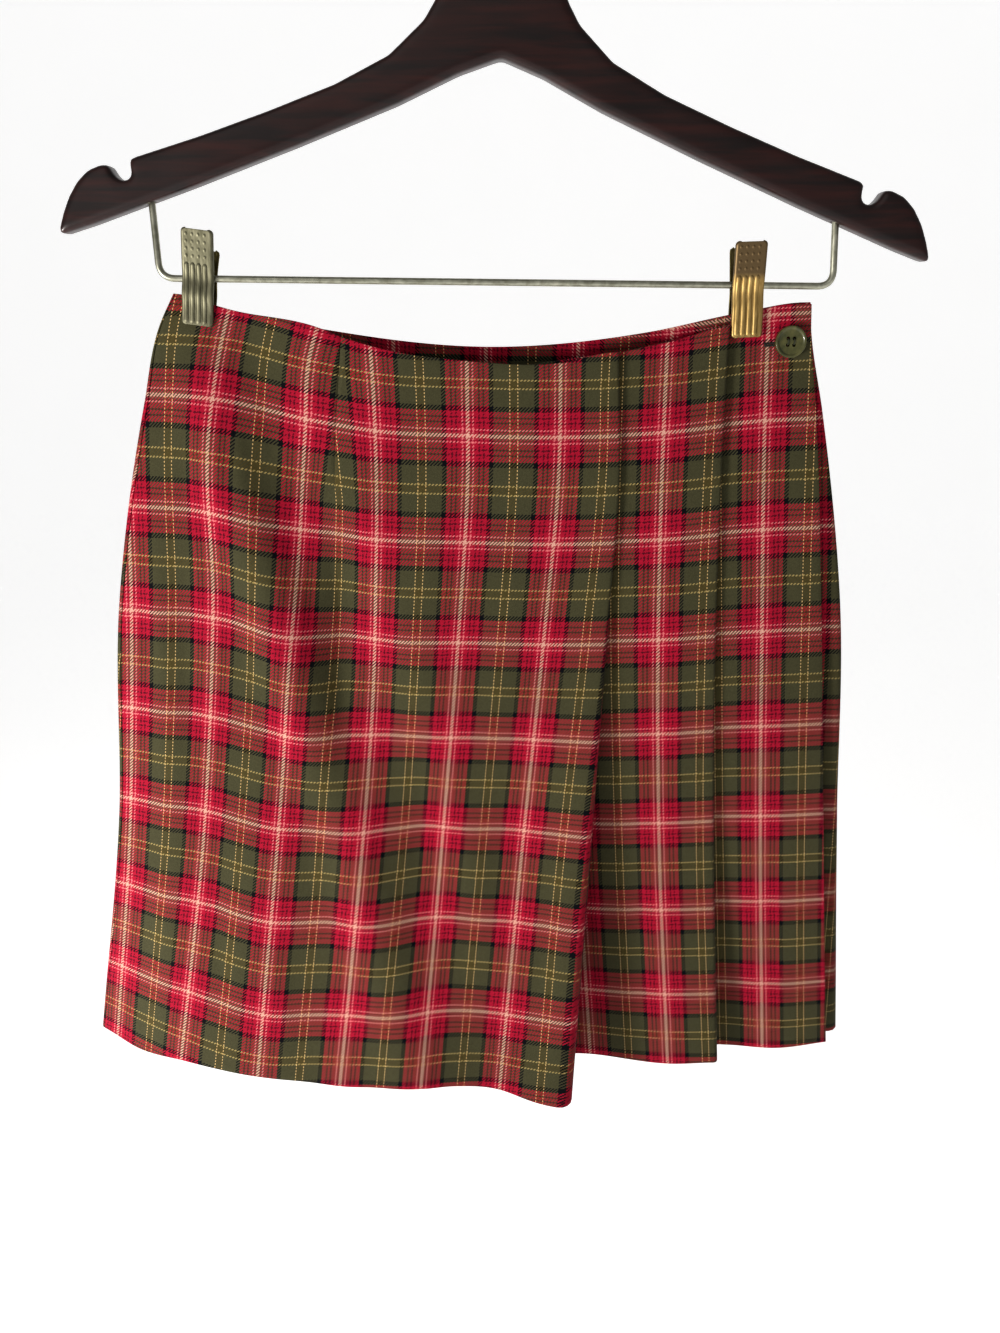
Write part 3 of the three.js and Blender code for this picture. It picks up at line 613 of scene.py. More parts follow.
def rows_down(x, drop, t):
    """How many setts down the cloth a point is."""
    marks = [*STRIPES, MIDDLE_STRIPE, RIGHT_STRIPE, EDGE_ROWS]
    xs = [float(smooth(LEVELS, m["x"], t)) for m in marks]
    x = np.clip(x, xs[0], xs[-1])
    first = smooth(xs, [m["row1"] for m in marks], x)
    seventh = smooth(xs, [m["row7"] for m in marks], x)
    rows = 1 + ROWS_BETWEEN * (drop - first) / (seventh - first)
    return rows - WAIST_EASE * np.clip(1 - rows, 0, None) ** EASE_CURVE


def fill_setts(path):
    """Spreads the setts evenly along the cloth between the points that have one."""
    along = along_path(path)
    known = ~np.isnan(path[:, SETT])
    path[:, SETT] = np.interp(along, along[known], path[known, SETT])
    return path


# %% [markdown]
# Cloth that hangs is never quite even. The folds and creases below are placed one by one, each
# from one point to another, as drops below the waist: a rise lifts the cloth off the body and
# a negative one presses it in. Near the clips they are short and sharp, lower down long and soft.

# %% Folds and creases
# The long folds of the front: x and rise at each level.
FOLDS = [
    dict(x=[-157, -156, -152, -127, -92, -56], rise=[0, 1.2, 4.0, 6.0, 5.0, 2.4], half=28),
    dict(x=[-120, -118, -114, -83, -46, -14], rise=[0, -1.2, -3.4, -5.2, -4.6, -2.4], half=34),
    dict(x=[-40, -40, -41, -44, -50, -58], rise=[0, 0, 0.1, 1.1, 0.8, 0], half=26),
    dict(x=[8, 7, 4, -2, 4, 0], rise=[0, 0, 0, -0.3, -1.8, -1.4], half=26),
]
# Creases of the front: from x and drop to x and drop.
FRONT_CREASES = [
    dict(x=-147, drop=26, to_x=-141, to_drop=150, half=7, rise=-1.3),
    dict(x=-158, drop=30, to_x=-176, to_drop=132, half=6, rise=-0.9),
    dict(x=-137, drop=24, to_x=-121, to_drop=98, half=5, rise=0.8),
    dict(x=-188, drop=70, to_x=-200, to_drop=330, half=11, rise=1.7),
    dict(x=-172, drop=70, to_x=-182, to_drop=330, half=11, rise=-1.4),
    dict(x=-103, drop=70, to_x=-96, to_drop=205, half=8, rise=0.8),
    dict(x=-87, drop=92, to_x=-93, to_drop=300, half=13, rise=-1.6),
    dict(x=-74, drop=40, to_x=-70, to_drop=150, half=9, rise=0.7),
    dict(x=-40, drop=140, to_x=-52, to_drop=420, half=15, rise=-1.0),
    dict(x=6, drop=120, to_x=-8, to_drop=330, half=17, rise=0.9),
    dict(x=34, drop=250, to_x=20, to_drop=470, half=12, rise=-1.3),
    dict(x=-196, drop=230, to_x=-214, to_drop=470, half=15, rise=1.4),
    dict(x=-168, drop=260, to_x=-176, to_drop=470, half=12, rise=-1.2),
    dict(x=-206, drop=120, to_x=-192, to_drop=250, half=9, rise=-0.8),
    dict(x=-140, drop=330, to_x=-134, to_drop=470, half=14, rise=1.0),
    dict(x=-24, drop=36, to_x=30, to_drop=50, half=7, rise=-0.5),
    dict(x=82, drop=240, to_x=92, to_drop=470, half=9, rise=-0.9),
    dict(x=98, drop=120, to_x=104, to_drop=330, half=8, rise=0.6),
    dict(x=121, drop=28, to_x=118, to_drop=96, half=5, rise=-0.8),
    dict(x=131, drop=30, to_x=139, to_drop=120, half=6, rise=0.7),
    dict(x=150, drop=60, to_x=168, to_drop=230, half=9, rise=-0.9),
    dict(x=160, drop=260, to_x=176, to_drop=470, half=10, rise=-1.0),
]
# Creases of the back, where a rise lifts the cloth away from the front.
BACK_CREASES = [
    dict(x=-146, drop=24, to_x=-138, to_drop=170, half=9, rise=-1.4),
    dict(x=-158, drop=28, to_x=-178, to_drop=150, half=7, rise=-1.0),
    dict(x=-120, drop=60, to_x=-128, to_drop=330, half=18, rise=1.6),
    dict(x=-82, drop=110, to_x=-96, to_drop=460, half=20, rise=-1.8),
    dict(x=-40, drop=60, to_x=-48, to_drop=390, half=22, rise=1.5),
    dict(x=4, drop=200, to_x=0, to_drop=470, half=20, rise=-1.7),
    dict(x=44, drop=80, to_x=56, to_drop=400, half=19, rise=1.4),
    dict(x=88, drop=150, to_x=104, to_drop=470, half=17, rise=-1.6),
    dict(x=124, drop=26, to_x=132, to_drop=190, half=9, rise=-1.3),
    dict(x=146, drop=120, to_x=170, to_drop=420, half=12, rise=1.1),
    dict(x=-186, drop=220, to_x=-206, to_drop=470, half=14, rise=1.2),
    dict(x=-10, drop=40, to_x=46, to_drop=62, half=9, rise=-0.6),
]
UNEVEN_SIZE = 42  # size of the slight unevenness all over, and how far it moves the cloth
UNEVEN_RISE = 0.45


def fold_rise(x, t):
    """How far the long folds lift the front at one level."""
    total = np.zeros_like(x)
    for f in FOLDS:
        middle, rise = smooth(LEVELS, f["x"], t), smooth(LEVELS, f["rise"], t)
        total += rise * bump((x - middle) / f["half"])
    return total


def crease_rise(x, drop, creases):
    """How far the creases lift the points of one level."""
    total = np.zeros_like(x)
    for c in creases:
        run = np.array([c["to_x"] - c["x"], c["to_drop"] - c["drop"]], float)
        length = np.hypot(*run)
        run /= length
        off_x, off_drop = x - c["x"], drop - c["drop"]
        along = (off_x * run[0] + off_drop * run[1]) / length
        aside = (off_drop * run[0] - off_x * run[1]) / c["half"]
        total += c["rise"] * bump(2 * along - 1) * bump(aside)
    return total


def uneven_rise(x, drop, seed):
    """A slight unevenness, stretched down the cloth; each seed gives another one."""
    places = [Vector((a / UNEVEN_SIZE, b / (2 * UNEVEN_SIZE), seed)) for a, b in zip(x, drop)]
    return UNEVEN_RISE * np.array([noise.noise(p) for p in places])


# %% [markdown]
# The front apron starts at the left side seam, crosses the belly, makes two knife pleats and
# ends in a free edge. At each pleat the cloth turns back on itself behind the panel and turns
# again, so the section is three panels joined by two S-shaped folds. First come the helpers:
# the point where the apron meets the left side, and what is done to a whole panel.

# %% Parts of the apron's section
FOLD_STEPS = 6
DART_COLUMN = 34
PANELS = [
    dict(lines=APRON_LEFT, stops=[(4, DART_COLUMN), (8, 58)]),
    dict(lines=APRON_MIDDLE, stops=[(3, 38)]),
    dict(lines=APRON_RIGHT, stops=[(3, 40)]),
]


def side_fold(line, t):
    """The middle and the radius of a side fold."""
    radius = float(smooth(LEVELS, line["round"], t))
    centre = at(line, t)
    centre[X] -= math.copysign(radius, centre[X])
    return centre, radius


def side_seam(t):
    """The point where the apron meets the left side fold, with its outward heading."""
    centre, radius = side_fold(LEFT_SIDE, t)
    first = at(APRON_LEFT[0], t)
    away = math.hypot(centre[X] - first[X], centre[Y] - first[Y])
    heading = (heading_of(first, centre) + math.asin(radius / away) + 2 * math.pi) % (2 * math.pi)
    return on_turn(centre, radius, heading, -1)


def tuck(points, panel):
    """Keeps the top and the hem of a hidden layer behind those of the panel in front."""
    inside = (points[:, X] <= panel[-1, X]) & (points[:, X] >= panel[0, X])
    for column, limit in ((TOP, np.maximum), (HEM, np.minimum)):
        front = np.interp(points[inside, X], panel[:, X], panel[:, column])
        points[inside, column] = limit(points[inside, column], front)


def panel_setts(panel, number, t):
    """Gives the points of a panel their places in the sett."""
    if number == 0:
        panel[:, SETT] = left_setts(panel[:, X], t, -1)
        right = np.arange(len(panel)) > DART_COLUMN
        panel[right, SETT] = left_setts(panel[right, X], t, 1)
    else:
        stripe = [MIDDLE_STRIPE, RIGHT_STRIPE][number - 1]
        panel[:, SETT] = stripe["sett"] + (panel[:, X] - smooth(LEVELS, stripe["x"], t)) / SETT_WIDTH


# %% [markdown]
# Behind each panel but the last lies a hidden layer: round the pressed outer fold, back, and
# round the inner fold. The two turns lean on each other, so the run between them is the line
# that touches both circles.

# %% Section of the front apron
HIDDEN_STEPS = 14
DART_TIGHT = 10
INNER_BEHIND = 3  # radii from a panel back to the middle of the inner fold


def hidden_layer(pleat, panel, end, end_heading, following, t):
    """The outer fold, the run back and the inner fold, up to where the next panel starts."""
    radius = float(smooth(LEVELS, pleat["round"], t))
    outer = end.copy()
    outer[:2] += radius * np.array([-math.sin(end_heading), math.cos(end_heading)])
    inner = end.copy()
    inner[X] = smooth(LEVELS, pleat["x"], t) - smooth(LEVELS, pleat["depth"], t) + radius
    on_panel = [np.interp(inner[X], panel[:, X], panel[:, column]) for column in (Y, TOP, HEM)]
    inner[Y] = on_panel[0] + INNER_BEHIND * radius + smooth(LEVELS, pleat["open"], t)
    inner[TOP], inner[HEM] = on_panel[1:]
    span = math.hypot(inner[X] - outer[X], inner[Y] - outer[Y])
    back = heading_of(outer, inner) + math.asin(2 * radius / span)
    onwards = heading_of(on_turn(inner, radius, 0, -1), following)
    outer_turn = turn(outer, radius, end_heading, back, FOLD_STEPS, 1)
    inner_turn = turn(inner, radius, back, onwards, FOLD_STEPS, -1)
    run = through([outer_turn[-1], inner_turn[0]], [(1, HIDDEN_STEPS)])
    return np.concatenate([outer_turn[1:], run[1:-1], inner_turn])


def apron_section(t):
    """The apron at level t: three panels, with a hidden layer behind each pleat."""
    start = side_seam(t)
    heading = start[HEADING] - math.pi
    path, in_front = [], None
    for number, part in enumerate(PANELS):
        keys = [start, *[at(line, t) for line in part["lines"]]]
        if number < len(PLEATS):
            pleat = PLEATS[number]
            end = at(pleat, t)
            end[X] -= float(smooth(LEVELS, pleat["round"], t))
            end_heading = heading_of(keys[-1], end)
            panel = through([*keys, end], part["stops"], heading, end_heading, DART_TIGHT)
            panel[:, Y] -= fold_rise(panel[:, X], t)
        else:
            panel = through(keys, part["stops"], heading)
        panel_setts(panel, number, t)
        if number > 0:
            tuck(panel, in_front)
        path.append(panel)
        if number < len(PLEATS):
            following = at(PANELS[number + 1]["lines"][0], t)
            layer = hidden_layer(pleat, panel, end, end_heading, following, t)
            path.append(layer[:-1])
            start, heading, in_front = layer[-1], layer[-1, HEADING], panel
    return fill_setts(np.concatenate(path))


# %% [markdown]
# The back panel begins at the left side seam, folds round the left side, crosses the back,
# folds round the right side and ends hidden under the apron. The pattern runs straight down
# the middle of the back, and along the fold on the part that goes under the apron, so the two
# meet at an angle at the right side.

# %% Section of the back panel
BACK_STEPS = 84
UNDER_STEPS = 16
BACK_SEAM = FOLD_STEPS + BACK_STEPS  # column where the right side fold begins
BACK_CENTRE = 8.95  # place in the sett on the middle of the back
UNDER_SETTS = [0.05, 0.08, 0.2, 0.42, 0.55, 0.8]  # pattern on the outermost line of the right fold


def back_section(t):
    """The back panel at level t, from the left side seam to the end of the underlap."""
    left, left_radius = side_fold(LEFT_SIDE, t)
    right, right_radius = side_fold(RIGHT_SIDE, t)
    across = [at(line, t) for line in BACK]
    under = [at(line, t) for line in UNDERLAP]
    start = side_seam(t)[HEADING] - GAP / left_radius
    left_out = heading_of(on_turn(left, left_radius, 0, -1), across[0])
    left_turn = turn(left, left_radius, start, left_out, FOLD_STEPS, -1)
    right_in = heading_of(across[-1], on_turn(right, right_radius, 0, -1))
    right_out = heading_of(on_turn(right, right_radius, -math.pi, -1), under[0])
    if right_out > 0:
        right_out -= 2 * math.pi
    right_turn = turn(right, right_radius, right_in, right_out, FOLD_STEPS, -1)
    middle = through([left_turn[-1], *across, right_turn[0]], [(6, BACK_STEPS)], left_out, right_in)
    last = through([right_turn[-1], *under], [(2, UNDER_STEPS)], right_out)
    path = np.concatenate([left_turn, middle[1:], right_turn[1:], last[1:]])
    along = along_path(path)
    across_back = slice(FOLD_STEPS, BACK_SEAM + 1)
    centre = np.interp(at(BACK[2], t)[X], path[across_back, X], along[across_back])
    path[:, SETT] = BACK_CENTRE - (along - centre) / SETT_WIDTH
    past_seam = slice(BACK_SEAM + 1, None)
    edge = along[BACK_SEAM + FOLD_STEPS // 2]
    path[past_seam, SETT] = smooth(LEVELS, UNDER_SETTS, t) - (along[past_seam] - edge) / SETT_WIDTH
    return path


def back_take(t):
    """The jump of the pattern where the two grains meet."""
    path = back_section(t)
    step = math.dist(path[BACK_SEAM, :2], path[BACK_SEAM + 1, :2])
    return path[BACK_SEAM + 1, SETT] + step / SETT_WIDTH - path[BACK_SEAM, SETT]


# %% [markdown]
# Every piece ends the same way: its edges are shaded sharp or smooth by their angle, it gets
# its material, it is told which body of the model it belongs to, and the plain solids that it
# stands for are hidden. A thin piece, of cloth or of pressed steel, starts as a flat grid whose
# points are moved to their places. Solidify gives it its thickness to both sides of that surface,
# and a small bevel rounds the cut edges.

# %% Helpers for every piece
SHARP = math.radians(50)


def select_only(piece):
    """Selects one piece and makes it active, so operators act on it alone."""
    bpy.ops.object.select_all(action="DESELECT")
    piece.select_set(True)
    bpy.context.view_layer.objects.active = piece


def modified(piece, kind, **settings):
    """Adds a modifier to the piece and applies it."""
    modifier = piece.modifiers.new(kind.lower(), kind)
    for name, value in settings.items():
        setattr(modifier, name, value)
    select_only(piece)
    bpy.ops.object.modifier_apply(modifier=modifier.name)


def finish_piece(piece, material, slot, *nodes, angle=SHARP):
    """Shades, colours and places a finished piece in the model."""
    select_only(piece)
    bpy.ops.object.shade_smooth_by_angle(angle=angle)
    piece.data.materials.clear()
    piece.data.materials.append(material)
    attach(piece, "root")
    if nodes:
        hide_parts(*nodes)
    return piece


def grid_piece(name, points):
    """A flat grid moved to rows of points, in millimetres."""
    rows, columns = points.shape[:2]
    bpy.ops.object.select_all(action="DESELECT")
    bpy.ops.mesh.primitive_grid_add(x_subdivisions=columns - 1, y_subdivisions=rows - 1)
    piece = bpy.context.object
    piece.name = name
    piece.data.vertices.foreach_set("co", (points.reshape(-1) * MM).astype(np.float32))
    piece.data.update()
    return piece


def thicken(piece, thickness, edge):
    """Gives a surface its thickness and rounds its edges, in millimetres."""
    modified(piece, "SOLIDIFY", thickness=thickness * MM, offset=0)
    modified(piece, "BEVEL", width=edge * MM, segments=2, limit_method="ANGLE", angle_limit=SHARP)


# %% [markdown]
# The cloth gets one row of points for each level from the waist to the hem. The creases and
# the slight unevenness are added here. They grow from nothing just below the waist edge, which
# is held flat, and the seam of the dart is drawn in a little.

# %% Points of the cloth
ROWS = 124
CREASE_START = 0.02  # level where the creases begin, and the stretch over which they grow
CREASE_GROWTH = 0.08
DART_DEPTH = 0.7  # how deep the dart's seam is drawn in
DART_SHARES = {-1: 0.25, 0: 1, 1: 0.1}  # shares of it on the seam and on its two neighbours
DART_FADE = 6  # how fast it fades near the dart's tip


def cloth_points(section, creases, outwards, seed, dart=None):
    """Rows of points of the middle surface, in millimetres, with their setts and rows down."""
    points, setts, rows = [], [], []
    for t in np.linspace(0, 1, ROWS):
        path = section(t)
        drop = path[:, TOP] + (path[:, HEM] - path[:, TOP]) * t
        x, y = path[:, X], path[:, Y].copy()
        grown = np.clip((t - CREASE_START) / CREASE_GROWTH, 0, 1)
        y += outwards * grown * (crease_rise(x, drop, creases) + uneven_rise(x, drop, seed))
        if dart is not None:
            depth = DART_DEPTH * min(1, DART_FADE * max(0, 1 - t / DART_TIP))
            for aside, share in DART_SHARES.items():
                y[dart + aside] += share * depth
        points.append(np.stack([x, y, WAIST_Z - drop], axis=1))
        setts.append(path[:, SETT])
        rows.append(rows_down(x, drop, t))
    return np.array(points), np.array(setts), np.array(rows)


front_cloth = cloth_points(apron_section, FRONT_CREASES, outwards=-1, seed=3.1, dart=DART_COLUMN)
back_cloth = cloth_points(back_section, BACK_CREASES, outwards=1, seed=8.4)
print("points of the cloth:", front_cloth[1].size, "and", back_cloth[1].size)

# %% [markdown]
# The pattern is stored as a UV map, in setts. Along the dart, and at the right side, it jumps,
# so the corners left and right of that column get different values.

# %% Cloth pieces
EDGE_ROUND = 0.35


def cloth_piece(name, node, cloth, hem_first, seam, take_at):
    """A thin shell through the rows of points. At the seam's column the pattern jumps. With
    the hem's row first, the faces of the grid look to the front."""
    take = np.array([take_at(t) for t in np.linspace(0, 1, ROWS)])
    points, setts, rows, take = [table[::-1] if hem_first else table for table in (*cloth, take)]
    columns = setts.shape[1]
    piece = grid_piece(name, points)
    layer = piece.data.uv_layers[0]
    layer.name = "setts"
    corner = np.empty(len(piece.data.loops), int)
    piece.data.loops.foreach_get("vertex_index", corner)
    flat = np.stack([setts.reshape(-1), rows.reshape(-1)], axis=1)[corner]
    face_column = (corner % columns).reshape(-1, 4).min(axis=1).repeat(4)
    at_seam = (corner % columns == seam) & (face_column == seam)
    flat[at_seam, 0] += take[corner[at_seam] // columns]
    layer.data.foreach_set("uv", flat.reshape(-1).astype(np.float32))
    thicken(piece, CLOTH, EDGE_ROUND)
    return finish_piece(piece, WOOL, "tartan", node)


front = cloth_piece("pleated_front_apron", "front_apron", front_cloth, True, DART_COLUMN, dart_take)
back = cloth_piece("plain_back_panel", "back_panel", back_cloth, False, BACK_SEAM, back_take)

# %% [markdown]
# The rest of the object is hard. Wire is a curve with a round bevel that is turned into a
# mesh. Its ends are domed: the curve goes on a little there while its radius shrinks.

# %% Helpers for hard pieces
DOME = [math.radians(latitude) for latitude in (80, 55, 30)]  # the rings of a domed end


def wire_piece(name, runs, radius, roundness):
    """Round wires along runs of points, in millimetres, joined in one mesh, with domed ends."""
    bpy.ops.object.select_all(action="DESELECT")
    bpy.ops.curve.primitive_bezier_curve_add()
    piece = bpy.context.object
    piece.name = name
    curve = piece.data
    curve.splines.clear()
    shrinking = [math.cos(a) for a in DOME]
    for run in runs:
        run = np.asarray(run, float)
        first = (run[0] - run[1]) / np.linalg.norm(run[0] - run[1])
        last = (run[-1] - run[-2]) / np.linalg.norm(run[-1] - run[-2])
        start = [run[0] + first * radius * math.sin(a) for a in DOME]
        end = [run[-1] + last * radius * math.sin(a) for a in reversed(DOME)]
        places = [*start, *run, *end]
        sizes = [*shrinking, *[1] * len(run), *reversed(shrinking)]
        spline = curve.splines.new("POLY")
        spline.points.add(len(places) - 1)
        for point, place, size in zip(spline.points, places, sizes):
            point.co = (*(place * MM), 1)
            point.radius = size
    curve.dimensions = "3D"
    curve.bevel_depth = radius * MM
    curve.bevel_resolution = roundness
    curve.use_fill_caps = True
    bpy.ops.object.convert(target="MESH")
    return bpy.context.object


def turned(points, angle, shift=(0, 0, 0)):
    """Points turned about the depth axis and then moved."""
    x, y, z = np.moveaxis(np.asarray(points, float), -1, 0)
    cos, sin = math.cos(angle), math.sin(angle)
    return np.stack([x * cos + z * sin, y, z * cos - x * sin], axis=-1) + np.array(shift)


# %% [markdown]
# Grain and wear make a plain colour look like wood or metal. One group gives both: noise that
# is stretched along one direction. In wood it is the grain that runs along the arms, and on
# metal it is fine scratches.

# %% Streak group
CLOUD_RANGE = (0.3, 0.7)  # values of the clouds between which the roughness changes


def streak_group():
    """Stretched noise between a dark and a light colour, and the streaks by themselves."""
    tree, given, out = new_group(
        "Streaks",
        [
            ("Stretch", "Vector", None), ("Light", "Color", None), ("Dark", "Color", None),
            ("Scale", "Float", 60.0),
        ],
        [("Colour", "Color"), ("Streaks", "Float")],
    )
    where = put(tree, "TexCoord").outputs["Object"]
    long = put(tree, "Mapping", {"Vector": where, "Scale": given["Stretch"]}).outputs[0]
    lines = put(
        tree, "TexNoise", {"Vector": long, "Scale": given["Scale"], "Detail": 6.0, "Distortion": 0.4}
    ).outputs[0]
    contrast = put(tree, "MapRange", {0: lines, 1: 0.35, 2: 0.68}).outputs[0]
    tree.links.new(blended(tree, contrast, given["Dark"], given["Light"]), out["Colour"])
    tree.links.new(contrast, out["Streaks"])
    return tree


STREAKS = streak_group()


def streaked_material(name, light, dark, stretch, scale, roughness, relief, worn=None, **constants):
    """A material with streaks, clouds, a changing roughness and a slight relief. worn gives a
    colour that takes over above a height, and the heights between which it does."""
    material, tree, shader = new_material(name, **constants)
    item = put(tree, "Group", {"Light": light, "Dark": dark, "Scale": scale}, node_tree=STREAKS)
    item.inputs["Stretch"].default_value = stretch
    colour, clouds = uneven(tree, item.outputs["Colour"], scale=22.0, amount=0.25)
    if worn:
        worn_colour, low, high = worn
        place = put(tree, "SeparateXYZ", {0: put(tree, "TexCoord").outputs["Object"]}).outputs[2]
        share = put(tree, "MapRange", {0: place, 1: low * MM, 2: high * MM}).outputs[0]
        colour = blended(tree, share, colour, worn_colour)
    tree.links.new(colour, shader.inputs["Base Color"])
    start, stop = CLOUD_RANGE
    low, high = roughness
    rough = put(tree, "MapRange", {0: clouds, 1: start, 2: stop, 3: low, 4: high}).outputs[0]
    tree.links.new(rough, shader.inputs["Roughness"])
    finish_normal(tree, shader, item.outputs["Streaks"], strength=0.25, distance=relief * MM)
    return material


# %% [markdown]
# Each finish is the streak group with its own values. The wood is a dark red-brown stain under
# varnish, which is a clear coat. The metals are dull from use, so the clouds make them rougher
# in places, and the brass clip's lacquer has worn off its tab. Rubber, horn and thread have
# hardly any streaks.

# %% Wood, metal and small finishes
WOOD = streaked_material(
    "varnished_wood", light=srgb(46, 17, 13), dark=srgb(20, 8, 7),
    stretch=(0.08, 1, 1), scale=260.0, roughness=(0.3, 0.45), relief=0.1,
    Coat_Weight=0.25, Coat_Roughness=0.2, Specular_IOR_Level=0.35,
)
WIRE = streaked_material(
    "nickel_wire", light=srgb(186, 185, 168), dark=srgb(148, 147, 130),
    stretch=(0.3, 1, 0.3), scale=900.0, roughness=(0.26, 0.42), relief=0.02, Metallic=1.0,
)
STEEL = streaked_material(
    "clip_steel", light=srgb(132, 129, 108), dark=srgb(100, 98, 80),
    stretch=(1, 1, 0.15), scale=700.0, roughness=(0.48, 0.62), relief=0.012, Metallic=1.0,
)
BRASS = streaked_material(
    "clip_brass", light=srgb(196, 168, 112), dark=srgb(152, 126, 78),
    stretch=(1, 1, 0.15), scale=700.0, roughness=(0.46, 0.6), relief=0.012,
    worn=(srgb(116, 98, 72), -216, -212), Metallic=1.0,
)
# The back plates' metal is lighter than the front plates': painted light, so that they show out of the shade
# they stand in.
LIGHTENED_BACK_METAL = streaked_material(
    "clip_back_lightened", light=srgb(150, 138, 92), dark=srgb(96, 88, 60),
    stretch=(1, 1, 0.15), scale=700.0, roughness=(0.4, 0.6), relief=0.05, Metallic=1.0,
)
RUBBER = streaked_material(
    "black_rubber", light=srgb(30, 30, 30), dark=srgb(18, 18, 18),
    stretch=(1, 1, 1), scale=900.0, roughness=(0.7, 0.85), relief=0.05,
)
HORN = streaked_material(
    "olive_button", light=srgb(88, 86, 46), dark=srgb(62, 64, 32),
    stretch=(1, 1, 1), scale=240.0, roughness=(0.32, 0.45), relief=0.03, Coat_Weight=0.25,
)
THREAD = streaked_material(
    "dark_thread", light=srgb(40, 40, 30), dark=srgb(20, 20, 16),
    stretch=(1, 1, 1), scale=3000.0, roughness=(0.7, 0.85), relief=0.05,
)
OLIVE_THREAD = streaked_material(
    "olive_thread", light=srgb(62, 64, 40), dark=srgb(40, 42, 26),
    stretch=(1, 1, 1), scale=3000.0, roughness=(0.7, 0.85), relief=0.05,
)
print("materials:", len(bpy.data.materials))

# %% [markdown]
# A wooden hanger is sawn from a board and then sanded, so no edge stays sharp. The copy of
# the sawn shape is remeshed into small even squares, and a smooth modifier does the sanding.

# %% Wooden hanger
SANDING_GRID = 1.1
SANDING = 18

board = bpy.data.objects.new("hanger_arms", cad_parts["hanger_wood"].data.copy())
scene.collection.objects.link(board)
select_only(board)
bpy.ops.object.mode_set(mode="EDIT")
bpy.ops.mesh.select_all(action="SELECT")
bpy.ops.mesh.remove_doubles(threshold=0.01 * MM)
bpy.ops.object.mode_set(mode="OBJECT")
modified(board, "REMESH", mode="VOXEL", voxel_size=SANDING_GRID * MM)
modified(board, "SMOOTH", factor=0.5, iterations=SANDING)
finish_piece(board, WOOD, "dark_wood", "hanger_wood", angle=math.radians(80))
print("hanger arms:", len(board.data.polygons), "faces")

# %% [markdown]
# The hook goes up out of the crown, swings to the right and rounds over the rail. The trouser
# bar is one wire with two bent ends that go up into the wood. Both are lists of points, and
# Bezier curves make the bends.

# %% Hook and bar
HANGER_TILT = math.radians(1.7)
HANGER_SHIFT = (4, 0, 0)
CROWN_TOP = -67.5
HOOK_SINK = 14
HOOK_RISE = 12
HOOK_SWING = 10
HOOK_DIP = 18
HOOK_WIRE = 2
HOOK_INNER = 20
HOOK_TURN = 200
HOOK_STEP = 4  # degrees between two points of the round
SWING_STEPS = 24
BAR_WIRE = 1.7
BAR_TOP = -174
BAR_BEND = 8
BEND_STEPS = 12
BAR_LEFT = np.array([-172.6, 0, -214.6])
BAR_RIGHT = np.array([169.4, 0, -218.4])
BAR_LEFT_TOP = np.array([-172.6, 0, BAR_TOP])
BAR_RIGHT_TOP = np.array([166.3, 0, BAR_TOP])
WIRE_ROUNDNESS = 8


def bezier(corners, steps):
    """Points of a Bezier curve with any number of corners."""
    corners = np.asarray(corners, float)
    degree = len(corners) - 1
    shares = np.linspace(0, 1, steps + 1)
    weights = [math.comb(degree, i) * shares**i * (1 - shares) ** (degree - i) for i in range(degree + 1)]
    return np.tensordot(np.array(weights).T, corners, axes=1)


def towards(start, end, length):
    """The point at a length along the way from start to end."""
    return start + (end - start) * length / np.linalg.norm(end - start)


def bent(before, corner, after):
    """The points of a rounded corner between two straight runs."""
    corners = [towards(corner, before, BAR_BEND), corner, towards(corner, after, BAR_BEND)]
    return bezier(corners, BEND_STEPS)


hook_round = HOOK_INNER + HOOK_WIRE
rise = CROWN_TOP + HOOK_RISE
above_crown = [(0, 0, rise), (0, 0, rise + HOOK_SWING)]
beside_rail = [(hook_round, 0, -HOOK_INNER - HOOK_DIP), (hook_round, 0, -HOOK_INNER)]
swing = bezier([*above_crown, *beside_rail], SWING_STEPS)
angles = np.radians(np.arange(HOOK_STEP, HOOK_TURN + 1, HOOK_STEP))
over_rail = np.stack(
    [hook_round * np.cos(angles), 0 * angles, hook_round * np.sin(angles) - HOOK_INNER], axis=1
)
hook_run = np.concatenate([[(0, 0, CROWN_TOP - HOOK_SINK)], swing, over_rail])
hook_run = turned(hook_run, HANGER_TILT, HANGER_SHIFT)
hook = wire_piece("hanger_hook_wire", [hook_run], HOOK_WIRE, WIRE_ROUNDNESS)
finish_piece(hook, WIRE, "wire", "hanger_hook")

left_bend = bent(BAR_LEFT_TOP, BAR_LEFT, BAR_RIGHT)
right_bend = bent(BAR_LEFT, BAR_RIGHT, BAR_RIGHT_TOP)
bar_run = np.concatenate([[BAR_LEFT_TOP], left_bend, right_bend, [BAR_RIGHT_TOP]])
bar = wire_piece("trouser_bar_wire", [bar_run], BAR_WIRE, WIRE_ROUNDNESS)
finish_piece(bar, WIRE, "wire", "hanger_bar")
print("points of the hook and the bar:", len(hook_run), len(bar_run))

# %% [markdown]
# Each clip is two pressed plates on a coiled spring. A plate is a strip with turned-in sides.
# Its tab leans out for the finger and its jaw closes on the cloth through a rubber pad. The
# front plates are pressed with four upright ribs and, on the tab, with rows of small dimples
# for grip.

